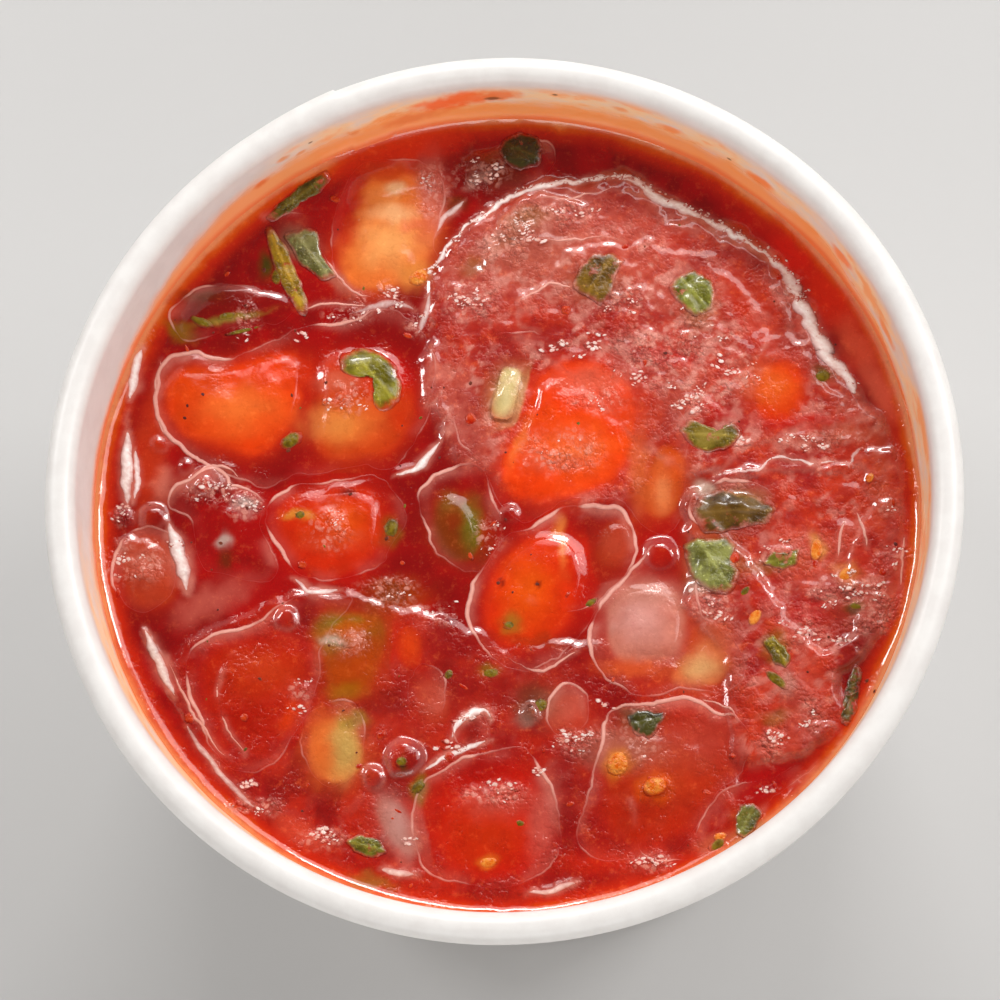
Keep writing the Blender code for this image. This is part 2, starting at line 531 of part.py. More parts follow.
def dice_mesh(dice):
    """A cube rounded to its squareness and made a little uneven."""
    bm = bmesh.new()
    bmesh.ops.create_cube(bm, size=2.0)
    bmesh.ops.subdivide_edges(bm, edges=bm.edges, cuts=DICE_CUTS, use_grid_fill=True)
    half = Vector((dice.length, dice.width, dice.depth)) * (MM / 2)
    own = Vector((dice.x, dice.y, dice.depth))
    for vert in bm.verts:
        size = sum(abs(value) ** dice.square for value in vert.co) ** (1 / dice.square)
        unit = vert.co / size
        uneven = 1 + DICE_UNEVEN * noise.noise(unit * DICE_LUMPS + own)
        vert.co = Vector((unit.x * half.x, unit.y * half.y, unit.z * half.z)) * uneven
    bmesh.ops.recalc_face_normals(bm, faces=bm.faces)
    return mesh_of(dice.name, bm)


def cut_middle(cut):
    """The place of a cut piece: the middle of its outline."""
    count = len(cut.outline)
    return sum(x for x, y in cut.outline) / count, sum(y for x, y in cut.outline) / count


def cut_mesh(cut):
    """Rings of the cut outline, drawn in at the crowned top and at the foot."""
    middle_x, middle_y = cut_middle(cut)
    fall_x, fall_y = cut.fall
    body = cut.depth - cut.crown
    bm = bmesh.new()
    rings = []
    for size, crown_share, body_share in CUT_RINGS:
        ring = []
        for corner_x, corner_y in cut.outline:
            x, y = corner_x - middle_x, corner_y - middle_y
            spread = size * (1 + CUT_UNEVEN * noise.noise(Vector((x, y, 3 * body_share))))
            slope = -(fall_x * x + fall_y * y) * size * (1 - body_share)
            z = cut.depth / 2 - cut.crown * crown_share - body * body_share + slope
            ring.append(bm.verts.new(Vector((x * spread, y * spread, z)) * MM))
        rings.append(ring)
    crown = bm.verts.new((0.0, 0.0, cut.depth / 2 * MM))
    foot = bm.verts.new((0.0, 0.0, -cut.depth / 2 * MM))
    for corner in range(len(cut.outline)):
        after = (corner + 1) % len(cut.outline)
        bm.faces.new((crown, rings[0][corner], rings[0][after]))
        bm.faces.new((foot, rings[-1][after], rings[-1][corner]))
        for upper, lower in zip(rings, rings[1:]):
            bm.faces.new((upper[corner], lower[corner], lower[after], upper[after]))
    bmesh.ops.recalc_face_normals(bm, faces=bm.faces)
    return mesh_of(cut.name, bm)


def pocket_mesh(dice, solid):
    """An upright well with flat walls, each standing GAP clear of the dice in it."""
    sector = 2 * math.pi / POCKET_WALLS
    reach = []
    for wall in range(POCKET_WALLS):
        out = Vector((math.cos(wall * sector), math.sin(wall * sector), 0.0))
        reach.append(GAP + max(vert.co.dot(out) for vert in solid.vertices))
    bottom = min(vert.co.z for vert in solid.vertices) - GAP
    bm = bmesh.new()
    bmesh.ops.create_cone(bm, cap_ends=True, segments=POCKET_WALLS, radius1=1.0, radius2=1.0, depth=2.0)
    for vert in bm.verts:
        wall = round(math.atan2(vert.co.y, vert.co.x) / sector - 0.5)
        near, far = reach[wall % POCKET_WALLS], reach[(wall + 1) % POCKET_WALLS]
        # The corner is where two neighbouring walls meet
        across = (far - near * math.cos(sector)) / math.sin(sector)
        turn = wall * sector
        vert.co.x, vert.co.y = (
            near * math.cos(turn) - across * math.sin(turn),
            near * math.sin(turn) + across * math.cos(turn),
        )
        vert.co.z = bottom if vert.co.z < 0 else dice.depth * MM
    bmesh.ops.recalc_face_normals(bm, faces=bm.faces)
    return mesh_of("pocket_" + dice.name, bm)


def dice_place(piece, dice):
    lean_x, lean_y = dice.lean
    piece.location = (dice.x * MM, dice.y * MM, (dice.top - dice.depth / 2) * MM)
    piece.rotation_euler = Euler(
        (math.radians(lean_x), math.radians(lean_y), math.radians(dice.turn))
    )


def cut_place(piece, cut):
    middle_x, middle_y = cut_middle(cut)
    piece.location = (middle_x * MM, middle_y * MM, (cut.top - cut.depth / 2) * MM)


def build_piece(piece_row, shape, place, group, pockets):
    """One diced piece, and the hidden well that the sauce leaves free round it."""
    piece = add_object(piece_row.name, shape, piece_row.kind, group)
    place(piece, piece_row)
    pocket = bpy.data.objects.new("pocket_" + piece_row.name, pocket_mesh(piece_row, shape))
    place(pocket, piece_row)
    pocket.hide_render = True
    pocket.display_type = "WIRE"
    pockets.objects.link(pocket)


def build_dice(group, pockets):
    for dice in DICE:
        build_piece(dice, dice_mesh(dice), dice_place, group, pockets)
    for cut in CUTS:
        build_piece(cut, cut_mesh(cut), cut_place, group, pockets)


# Seeds fused on the pieces that carry them

def surface_tree(pieces):
    """The evaluated surfaces of several pieces, to lay things on."""
    bpy.context.view_layer.update()
    graph = bpy.context.evaluated_depsgraph_get()
    points = []
    faces = []
    for piece in pieces:
        data = piece.evaluated_get(graph).to_mesh()
        first = len(points)
        points += [piece.matrix_world @ vert.co for vert in data.vertices]
        faces += [[first + index for index in face.vertices] for face in data.polygons]
        piece.evaluated_get(graph).to_mesh_clear()
    return BVHTree.FromPolygons(points, faces)


def drop_on(tree, x, y):
    """The first surface under a point, and the way it faces; both are None beside it."""
    place, facing, _, _ = tree.ray_cast(Vector((x, y, 2 * CUP_HEIGHT)), Vector((0, 0, -1)))
    return place, facing


def seed_mesh():
    bm = bmesh.new()
    bmesh.ops.create_uvsphere(bm, u_segments=6, v_segments=4, radius=0.5)
    for vert in bm.verts:
        taper = 1 - SEED_TAPER * vert.co.x
        vert.co = (vert.co.x * SEED_LENGTH, vert.co.y * SEED_WIDTH * taper, vert.co.z * SEED_THICK)
    return mesh_of("seed", bm)


def fuse_seeds(node, group):
    """One union of a piece with all the seeds that lie on it."""
    piece = group.objects[node]
    tree = surface_tree([piece])
    loose = bpy.data.collections.new("seeds_" + node)
    bpy.context.scene.collection.children.link(loose)
    for seed in (seed for seed in SEEDS if seed.node == node):
        place, facing = drop_on(tree, seed.x * MM, seed.y * MM)
        grain = bpy.data.objects.new("seed", seed_mesh())
        grain.location = (place.x, place.y, place.z + SEED_PROUD)
        turned_up = facing.to_track_quat("Z", "X").to_euler()
        grain.rotation_euler = Euler((turned_up.x, turned_up.y, math.radians(seed.turn)))
        loose.objects.link(grain)
    boolean(piece, "UNION", loose)
    apply_modifiers(piece)
    for grain in list(loose.objects):
        bpy.data.objects.remove(grain, do_unlink=True)
    bpy.data.collections.remove(loose)


# Herb leaves: thin wavy solids laid on what carries them

def leaf_outline(leaf, angle):
    """Radius of the leaf's edge as a share of its half length, cut into lobes."""
    return 1 - leaf.cut * (0.5 - 0.5 * math.cos(leaf.lobes * angle + leaf.turn))


def ground_under(tree, x, y):
    """The highest surface under a point and close round it, so a pocket's gap is bridged."""
    around = [(0.0, 0.0), (LEAF_BRIDGE, 0.0), (-LEAF_BRIDGE, 0.0), (0.0, LEAF_BRIDGE),
              (0.0, -LEAF_BRIDGE)]
    places = [drop_on(tree, x + dx, y + dy)[0] for dx, dy in around]
    return max(place.z for place in places if place is not None)


def leaf_mesh(leaf, tree):
    """A fan of two rings laid GAP above the surface, waved, then given a thickness."""
    bm = bmesh.new()
    middle = bm.verts.new((0.0, 0.0, 0.0))
    rings = []
    for share in LEAF_RINGS:
        ring = []
        for side in range(LEAF_SIDES):
            angle = 2 * math.pi * side / LEAF_SIDES
            reach = share * leaf_outline(leaf, angle)
            ring.append(bm.verts.new((
                reach * math.cos(angle) * leaf.length * MM / 2,
                reach * math.sin(angle) * leaf.width * MM / 2,
                0.0,
            )))
        rings.append(ring)
    inner, outer = rings
    for side in range(LEAF_SIDES):
        after = (side + 1) % LEAF_SIDES
        bm.faces.new((middle, inner[side], inner[after]))
        bm.faces.new((inner[side], outer[side], outer[after]))
        bm.faces.new((inner[side], outer[after], inner[after]))
    turn = Euler((0.0, 0.0, math.radians(leaf.turn))).to_matrix()
    for vert in bm.verts:
        vert.co = turn @ vert.co + Vector((leaf.x * MM, leaf.y * MM, 0.0))
        wave = leaf.wave * MM * (0.5 + 0.5 * math.sin(vert.co.x * WAVE_X + vert.co.y * WAVE_Y))
        vert.co.z = ground_under(tree, vert.co.x, vert.co.y) + LEAF_LIFT + wave
    bmesh.ops.recalc_face_normals(bm, faces=bm.faces)
    if bm.faces[0].normal.z < 0:
        bmesh.ops.reverse_faces(bm, faces=bm.faces)
    return mesh_of(leaf.name, bm)


def build_leaves(group, carriers):
    tree = surface_tree(carriers)
    for leaf in LEAVES:
        piece = add_object(leaf.name, leaf_mesh(leaf, tree), "leaf", group)
        body = piece.modifiers.new("thickness", "SOLIDIFY")
        body.thickness = LEAF_THICK
        body.offset = 1.0


def build():
    clear_scene()
    group = new_collection("Cup of salsa")
    cutters = new_collection("Cutters")
    pockets = new_collection("Pockets")
    build_cup(group, cutters)
    sauce = add_object("sauce", sauce_mesh(), "sauce", group)
    build_dice(group, pockets)
    for node in dict.fromkeys(seed.node for seed in SEEDS):
        fuse_seeds(node, group)
    boolean(sauce, "DIFFERENCE", pockets)
    carriers = [piece for piece in group.objects if not piece.name.startswith("cup")]
    build_leaves(group, carriers)


build()
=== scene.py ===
import math

import bmesh
import bpy
import numpy as np
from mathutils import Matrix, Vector
from mathutils.bvhtree import BVHTree


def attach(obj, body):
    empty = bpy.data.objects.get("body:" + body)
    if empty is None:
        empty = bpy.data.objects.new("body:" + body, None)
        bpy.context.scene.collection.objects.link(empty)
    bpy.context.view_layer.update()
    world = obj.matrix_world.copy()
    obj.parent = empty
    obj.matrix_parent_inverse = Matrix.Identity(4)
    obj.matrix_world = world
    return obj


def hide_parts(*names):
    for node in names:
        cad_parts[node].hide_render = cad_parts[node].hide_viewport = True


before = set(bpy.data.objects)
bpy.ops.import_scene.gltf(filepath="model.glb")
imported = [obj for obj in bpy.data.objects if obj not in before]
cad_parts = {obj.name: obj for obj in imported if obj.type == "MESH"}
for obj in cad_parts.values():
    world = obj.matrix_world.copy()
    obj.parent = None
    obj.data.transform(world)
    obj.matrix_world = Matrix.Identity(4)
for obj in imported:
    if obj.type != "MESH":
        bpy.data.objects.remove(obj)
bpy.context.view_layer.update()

MM = 0.001


# Cup wall
# White coated paper rolled into a tapered wall, its two ends lapped and glued in one side
# seam, its top edge curled outward into the rim, and its foot folded in round the base.
RIM_RADIUS = 38.0 * MM
RIM_ROLL = 1.3 * MM
CUP_HEIGHT = 48.0 * MM
FOOT_RADIUS = 31.0 * MM
PAPER = 0.45 * MM
HEM_HEIGHT = 5.0 * MM
ROLL_HEIGHT = CUP_HEIGHT - RIM_ROLL
MOUTH_RADIUS = RIM_RADIUS - 2 * RIM_ROLL
WALL_SLOPE = (MOUTH_RADIUS - (FOOT_RADIUS - PAPER)) / ROLL_HEIGHT
SKIRT_SLOT = PAPER + 0.6 * MM
LAP_START = 112.5
LAP_END = 123.75
LAP_PROUD = 0.2 * MM
INNER_LAP = 0.12 * MM
WALL_STEPS = 288


def wall_radius(height):
    return MOUTH_RADIUS - (ROLL_HEIGHT - height) * WALL_SLOPE


def wall_section():
    """Radius, height and the share of the lap's thickness, round the paper's section."""
    points = []
    for step in range(25):
        angle = math.radians(180 - 320 * step / 24)
        points.append((
            RIM_RADIUS - RIM_ROLL + RIM_ROLL * math.cos(angle),
            ROLL_HEIGHT + RIM_ROLL * math.sin(angle),
            min(1.0, max(0.0, (step - 4) / 3)),
        ))
    for step in range(12):
        height = 45.2 * MM * (1 - step / 11) + 0.3 * MM * step / 11
        points.append((wall_radius(height) + PAPER, height, 1.0))
    fold = 0.15 * MM
    hem = -SKIRT_SLOT - PAPER
    points += [
        (wall_radius(0) + PAPER - fold, 0.0, 0.0),
        (wall_radius(0) + hem + fold, 0.0, 0.0),
        (wall_radius(2 * fold) + hem, 2 * fold, 0.0),
        (wall_radius(HEM_HEIGHT) + hem, HEM_HEIGHT, 0.0),
        (wall_radius(HEM_HEIGHT) - SKIRT_SLOT, HEM_HEIGHT, 0.0),
        (wall_radius(PAPER) - SKIRT_SLOT, PAPER, 0.0),
        (wall_radius(PAPER), PAPER, 0.0),
    ]
    for step in range(1, 24):
        height = PAPER + (ROLL_HEIGHT - PAPER) * step / 24
        points.append((wall_radius(height), height, -1.0))
    return points


def wall_angles():
    """Even steps round the cup, with a close pair at each edge of the lap."""
    edge = 0.12
    marks = list(np.arange(0, 360, 360 / WALL_STEPS))
    for lap_edge in (LAP_START, LAP_END):
        marks = [mark for mark in marks if abs(mark - lap_edge) > 0.5]
        marks += [lap_edge - edge, lap_edge + edge]
    return np.radians(sorted(marks))


def mesh_from(name, points, faces):
    data = bpy.data.meshes.new(name)
    data.from_pydata([tuple(point) for point in points], [], faces)
    data.validate()
    data.update()
    return data


def add_piece(name, data, slot, *nodes):
    """Puts a finished mesh in the scene as a piece of the cup."""
    piece = bpy.data.objects.new(name, data)
    bpy.context.scene.collection.objects.link(piece)
    data.shade_smooth()
    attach(piece, "root")
    if nodes:
        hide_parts(*nodes)
    return piece


def cup_wall_mesh():
    section = wall_section()
    angles = wall_angles()
    points = []
    for angle in angles:
        degrees = math.degrees(angle)
        on_lap = LAP_START < degrees < LAP_END
        waver = 1 + 0.0012 * math.sin(3 * angle + 1.0) + 0.0008 * math.sin(5 * angle)
        for radius, height, lap in section:
            out = LAP_PROUD * (LAP_END - degrees) / (LAP_END - LAP_START) if on_lap and lap > 0 else 0.0
            inward = INNER_LAP if LAP_START - 6 < degrees < LAP_START and lap < 0 else 0.0
            radius_here = radius + out * max(lap, 0.0) - inward
            if height > 30 * MM:
                radius_here *= min(waver, 1.0)
            points.append((radius_here * math.cos(angle), radius_here * math.sin(angle), height))
    faces = []
    ring = len(section)
    for turn in range(len(angles)):
        after = (turn + 1) % len(angles)
        for step in range(ring):
            below = (step + 1) % ring
            faces.append((
                turn * ring + step, turn * ring + below, after * ring + below, after * ring + step,
            ))
    return mesh_from("cup_wall_paper", points, faces)


def new_material(name):
    """A material with its Principled shader, ready for nodes to be added."""
    skin = bpy.data.materials.new(name)
    skin.use_nodes = True
    tree = skin.node_tree
    return skin, tree, tree.nodes["Principled BSDF"]


def srgb(red, green, blue):
    """A display colour, 0 to 255, as the shader's own linear colour."""
    def linear(value):
        value /= 255
        return value / 12.92 if value <= 0.04045 else ((value + 0.055) / 1.055) ** 2.4
    return (linear(red), linear(green), linear(blue), 1.0)


def node(tree, kind, **settings):
    """A shader node with its settings, and values for the inputs named by their labels."""
    made = tree.nodes.new(kind)
    for key, value in settings.items():
        if key == "inputs":
            for label, content in value.items():
                if isinstance(content, bpy.types.NodeSocket):
                    tree.links.new(content, made.inputs[label])
                else:
                    made.inputs[label].default_value = content
        else:
            setattr(made, key, value)
    return made


def mix(tree, share, first, second, blend="MIX"):
    """Mixes two colours; each may be a colour or a socket."""
    made = tree.nodes.new("ShaderNodeMix")
    made.data_type = "RGBA"
    made.blend_type = blend
    for socket, content in ((made.inputs[0], share), (made.inputs[6], first), (made.inputs[7], second)):
        if isinstance(content, bpy.types.NodeSocket):
            tree.links.new(content, socket)
        else:
            socket.default_value = content
    return made.outputs[2]


def math_node(tree, operation, first, second=0.0, third=0.0, clamp=False):
    made = tree.nodes.new("ShaderNodeMath")
    made.operation = operation
    made.use_clamp = clamp
    for socket, content in zip(made.inputs, (first, second, third)):
        if isinstance(content, bpy.types.NodeSocket):
            tree.links.new(content, socket)
        else:
            socket.default_value = content
    return made.outputs[0]


def remap(tree, value, low, high, first=0.0, last=1.0):
    """A smooth step from one value to another."""
    made = node(tree, "ShaderNodeMapRange", interpolation_type="SMOOTHSTEP")
    tree.links.new(value, made.inputs["Value"])
    made.inputs["From Min"].default_value = low
    made.inputs["From Max"].default_value = high
    made.inputs["To Min"].default_value = first
    made.inputs["To Max"].default_value = last
    return made.outputs["Result"]


def noise(tree, place, scale, detail=4.0, roughness=0.55, kind="Fac"):
    made = node(tree, "ShaderNodeTexNoise", inputs={
        "Vector": place, "Scale": scale, "Detail": detail, "Roughness": roughness,
    })
    return made.outputs[kind]


def splash_group():
    """Mask of one splash on the paper: soft round an own place, uneven at its edge."""
    tree = bpy.data.node_groups.new("splash_mark", "ShaderNodeTree")
    face = tree.interface
    face.new_socket("Place", in_out="INPUT", socket_type="NodeSocketVector")
    face.new_socket("Centre", in_out="INPUT", socket_type="NodeSocketVector")
    face.new_socket("Stretch", in_out="INPUT", socket_type="NodeSocketVector")
    face.new_socket("Size", in_out="INPUT", socket_type="NodeSocketFloat")
    face.new_socket("Mask", in_out="OUTPUT", socket_type="NodeSocketFloat")
    given = tree.nodes.new("NodeGroupInput")
    out = tree.nodes.new("NodeGroupOutput")
    uneven = node(tree, "ShaderNodeTexNoise", inputs={
        "Vector": given.outputs["Place"], "Scale": 900.0, "Detail": 2.0,
    })
    away = node(tree, "ShaderNodeVectorMath", operation="SUBTRACT")
    tree.links.new(given.outputs["Place"], away.inputs[0])
    tree.links.new(given.outputs["Centre"], away.inputs[1])
    scaled = node(tree, "ShaderNodeVectorMath", operation="MULTIPLY")
    tree.links.new(away.outputs[0], scaled.inputs[0])
    tree.links.new(given.outputs["Stretch"], scaled.inputs[1])
    length = node(tree, "ShaderNodeVectorMath", operation="LENGTH")
    tree.links.new(scaled.outputs[0], length.inputs[0])
    share = math_node(tree, "DIVIDE", length.outputs["Value"], given.outputs["Size"])
    wobble = math_node(tree, "MULTIPLY_ADD", uneven.outputs["Fac"], 0.9, share)
    tree.links.new(remap(tree, wobble, 1.5, 0.75), out.inputs["Mask"])
    return tree


SPLASH = splash_group()
# Splashes on the inner wall: angle in degrees, height and size in millimetres, long share
SPLASHES = (
    (126.8, 43.6, 0.9, 1.3, (242, 116, 52)), (122.6, 45.2, 0.7, 1.3, (240, 160, 104)),
    (120.0, 44.6, 0.55, 1.1, (240, 160, 104)), (118.2, 45.4, 0.3, 1.0, (112, 84, 50)),
    (112.0, 44.0, 0.9, 0.8, (242, 150, 92)), (99.0, 44.8, 2.4, 1.3, (255, 104, 38)),
    (95.5, 45.2, 2.4, 1.4, (255, 110, 42)), (91.0, 45.4, 1.8, 1.5, (246, 124, 58)),
    (91.8, 44.8, 0.55, 1.6, (124, 74, 34)), (103.5, 43.2, 1.6, 2.2, (244, 140, 80)),
    (73.5, 45.4, 0.8, 1.2, (244, 160, 100)), (83.0, 45.8, 0.35, 1.0, (96, 76, 50)),
    (51.8, 44.4, 1.5, 1.3, (255, 134, 56)), (35.4, 44.4, 1.6, 1.3, (255, 134, 56)),
    (24.0, 43.8, 1.4, 1.6, (252, 148, 76)), (66.0, 44.8, 1.1, 1.5, (252, 150, 84)),
    (57.0, 44.6, 0.3, 1.0, (120, 84, 50)),
)


def paper_material():
    """Coated paper: faint fibre mottle, and inside, what the sauce left on it."""
    skin, tree, shader = new_material("coated_paper")
    place = tree.nodes.new("ShaderNodeTexCoord").outputs["Object"]
    split = node(tree, "ShaderNodeSeparateXYZ", inputs={"Vector": place})
    fibre = noise(tree, place, 420.0, 6.0, 0.6)
    paper = mix(tree, remap(tree, fibre, 0.35, 0.65), srgb(219, 214, 210), srgb(225, 221, 217))
    radius = math_node(tree, "SQRT", math_node(
        tree, "ADD",
        math_node(tree, "MULTIPLY", split.outputs["X"], split.outputs["X"]),
        math_node(tree, "MULTIPLY", split.outputs["Y"], split.outputs["Y"]),
    ))
    inner = math_node(tree, "MULTIPLY_ADD", split.outputs["Z"], WALL_SLOPE,
                      MOUTH_RADIUS - ROLL_HEIGHT * WALL_SLOPE)
    outside = math_node(tree, "SUBTRACT", radius, inner)
    inside = remap(tree, outside, 0.3 * MM, 0.12 * MM)
    # The sauce ran higher on the far and right side and left the far left side clean
    clean_side = math.radians(156)
    leftward = node(tree, "ShaderNodeVectorMath", operation="DOT_PRODUCT",
                    inputs={0: place, 1: (math.cos(clean_side), math.sin(clean_side), 0.0)})
    far_left = remap(tree, math_node(tree, "DIVIDE", leftward.outputs["Value"], radius),
                     math.cos(math.radians(24)), math.cos(math.radians(43)))
    cloud = noise(tree, place, 120.0, 3.0, 0.5)
    stained_height = math_node(tree, "MULTIPLY_ADD", cloud, 1.6 * MM, split.outputs["Z"])
    stain = math_node(tree, "MULTIPLY", remap(tree, stained_height, 48.0 * MM, 46.4 * MM), far_left)
    # Smears lie along the wall: orange where the sauce dried thick, clean paper between them
    flattened = node(tree, "ShaderNodeVectorMath", operation="MULTIPLY",
                     inputs={0: place, 1: (1.0, 1.0, 2.4)})
    smear = noise(tree, flattened.outputs[0], 190.0, 4.0, 0.6)
    stain = math_node(tree, "MULTIPLY", stain, remap(tree, smear, 0.36, 0.54, 0.35, 1.0))
    thick_smear = math_node(tree, "MULTIPLY", stain, remap(tree, smear, 0.52, 0.64, 0.0, 0.7))
    far_side = remap(tree, split.outputs["Y"], 8.0 * MM, 30.0 * MM)
    lower = math_node(tree, "MULTIPLY_ADD", far_side, -2.5 * MM, stained_height)
    lower = math_node(tree, "MULTIPLY_ADD", smear, -2.4 * MM, lower)
    near_sauce = remap(tree, lower, 42.4 * MM, 40.2 * MM)
    film_on_wall = remap(tree, stained_height, 43.0 * MM, 42.0 * MM)
    colour = mix(tree, math_node(tree, "MULTIPLY", stain, 0.85), paper, srgb(255, 212, 156))
    colour = mix(tree, thick_smear, colour, srgb(255, 160, 86))
    colour = mix(tree, math_node(tree, "MULTIPLY", near_sauce, 0.9), colour, srgb(255, 160, 88))
    colour = mix(tree, math_node(tree, "MULTIPLY", film_on_wall, 0.75), colour, srgb(240, 106, 56))
    for angle, height, size, long, tone in SPLASHES:
        turn = math.radians(angle)
        reach = wall_radius(height * MM)
        mark = tree.nodes.new("ShaderNodeGroup")
        mark.node_tree = SPLASH
        tree.links.new(place, mark.inputs["Place"])
        mark.inputs["Centre"].default_value = (
            reach * math.cos(turn), reach * math.sin(turn), height * MM)
        mark.inputs["Stretch"].default_value = (1 / long, 1 / long, 1.6)
        mark.inputs["Size"].default_value = size * MM
        colour = mix(tree, math_node(tree, "MULTIPLY", mark.outputs["Mask"], 0.85), colour, srgb(*tone))
    final = mix(tree, inside, paper, colour)
    tree.links.new(final, shader.inputs["Base Color"])
    wet = math_node(tree, "MULTIPLY", near_sauce, inside)
    tree.links.new(remap(tree, wet, 0.0, 1.0, 0.42, 0.2), shader.inputs["Roughness"])
    bump = node(tree, "ShaderNodeBump", inputs={"Strength": 0.12, "Distance": 0.03 * MM, "Height": fibre})
    tree.links.new(bump.outputs["Normal"], shader.inputs["Normal"])
    shader.inputs["Coat Weight"].default_value = 0.15
    shader.inputs["Coat Roughness"].default_value = 0.25
    return skin


PAPER_SKIN = paper_material()
cup_wall = add_piece("cup_wall_paper", cup_wall_mesh(), "paper", "cup_wall")
cup_wall.data.set_sharp_from_angle(angle=math.radians(50))
cup_wall.data.materials.append(PAPER_SKIN)


# Cup base
# A disc of the same paper set up inside the wall, its skirt turned down into the hem.
# It only shows from below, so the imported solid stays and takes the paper's finish.
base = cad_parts["cup_base"]
base.data.materials.clear()
base.data.materials.append(PAPER_SKIN)


# Diced pieces
# Tomato, onion and pepper cut by hand, wet through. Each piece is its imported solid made
# smooth and fleshy, with its own flesh, skin and pale parts, standing in the sauce.
VOXEL = 0.28 * MM
# Main colour, second colour, the second's middle and reach in millimetres from the dice's
# own middle, the side where the red skin shows in degrees, and the share of sauce over it
DICE = {
    "tomato_far": ((240, 122, 62), (250, 168, 102), (0.3, -1.4, 2.6, 2.4), 150, 0.0),
    "tomato_left": ((232, 70, 32), (243, 108, 56), (0.2, -1.0, 3.4, 1.8), None, 0.05),
    "tomato_mid_left": ((208, 60, 28), (238, 136, 70), (-1.6, -1.8, 2.8, 1.8), 60, 0.1),
    "tomato_centre": ((240, 68, 32), (250, 98, 50), (0.0, -1.5, 3.6, 2.4), None, 0.0),
    "tomato_side_slice": ((212, 82, 44), (235, 136, 86), (0.0, -1.0, 0.8, 2.0), None, 0.15),
    "tomato_bead": ((226, 66, 30), (238, 98, 50), (0.0, 0.4, 1.4, 1.6), None, 0.1),
    "tomato_mid": ((212, 54, 26), (228, 86, 44), (1.0, 0.8, 2.4, 1.6), None, 0.1),
    "tomato_speckled": ((224, 58, 24), (236, 88, 40), (-0.6, -0.2, 2.0, 2.8), None, 0.0),
    "tomato_veiled": ((178, 58, 42), (192, 80, 62), (0.0, 0.0, 1.4, 1.6), None, 0.35),
    "tomato_edge": ((192, 66, 46), (206, 92, 72), (0.0, 0.6, 1.6, 2.0), None, 0.3),
    "tomato_low_left": ((188, 46, 24), (202, 64, 40), (0.8, 1.0, 3.4, 2.0), None, 0.45),
    "tomato_pale": ((232, 118, 64), (200, 150, 86), (1.0, 0.2, 1.4, 2.6), None, 0.0),
    "tomato_near": ((202, 42, 18), (216, 62, 32), (-0.5, -1.6, 3.6, 2.6), None, 0.3),
    "tomato_right": ((184, 50, 28), (202, 74, 50), (0.0, 0.0, 3.6, 3.0), None, 0.4),
    "tomato_bump": ((192, 58, 46), (206, 92, 78), (0.0, 0.4, 1.2, 1.0), None, 0.3),
    "tomato_scrap": ((212, 56, 28), (224, 80, 46), (0.0, 0.6, 0.8, 1.4), None, 0.15),
    "tomato_lobe": ((186, 58, 46), (200, 84, 70), (0.3, 0.0, 0.9, 1.6), None, 0.3),
    "tomato_rough": ((178, 74, 34), (142, 118, 50), (0.2, 2.4, 2.2, 0.9), None, 0.1),
    "pepper_mid": ((128, 62, 30), (92, 96, 40), (1.7, 0.4, 0.8, 2.6), None, 0.1),
    "onion_dice": ((206, 120, 102), (222, 156, 146), (-0.6, 0.4, 2.2, 2.2), None, 0.05),
    "onion_corner": ((218, 110, 70), (234, 160, 116), (0.0, 0.0, 1.2, 1.1), None, 0.1),
    "onion_strip": ((188, 108, 98), (202, 146, 140), (0.0, 0.0, 0.8, 2.0), None, 0.15),
    "onion_stick": ((222, 196, 130), (236, 214, 158), (0.0, 0.0, 0.5, 2.0), None, 0.0),
}
SKIN_TONE = (206, 38, 12)
# How much light falls on the surface, and how much of what is seen is its shine
LIGHT = 1.23
SHINE = (0.004, 0.014, 0.022)


def seen(red, green, blue):
    """A colour as it is seen in this light, turned into the surface's own colour."""
    own = (np.array(srgb(red, green, blue)[:3]) - SHINE) / LIGHT
    return (*np.clip(own, 0.0015, 0.9), 1.0)


def lattice(x, y, cell, seed):
    """Smooth random relief from -1 to 1, its humps about one cell wide."""
    table = np.random.default_rng(seed).uniform(-1, 1, (256, 256))
    u, v = x / cell, y / cell
    i, j = np.floor(u).astype(int), np.floor(v).astype(int)
    a, b = u - i, v - j
    a, b = a * a * (3 - 2 * a), b * b * (3 - 2 * b)
    low = table[i & 255, j & 255] * (1 - a) + table[(i + 1) & 255, j & 255] * a
    high = table[i & 255, (j + 1) & 255] * (1 - a) + table[(i + 1) & 255, (j + 1) & 255] * a
    return low * (1 - b) + high * b


def smooth_step(value, low=0.0, high=1.0):
    value = np.clip((value - low) / (high - low), 0.0, 1.0)
    return value * value * (3 - 2 * value)


def blend(first, second, share):
    """Mixes two arrays of colours, or single colours, by a share for each point."""
    share = np.asarray(share)[:, None]
    return np.asarray(first)[..., :3] * (1 - share) + np.asarray(second)[..., :3] * share


def vertices_of(data):
    places = np.empty(len(data.vertices) * 3)
    data.vertices.foreach_get("co", places)
    return places.reshape(-1, 3)


def evaluated_mesh(piece):
    bpy.context.view_layer.update()
    graph = bpy.context.evaluated_depsgraph_get()
    return bpy.data.meshes.new_from_object(piece.evaluated_get(graph))


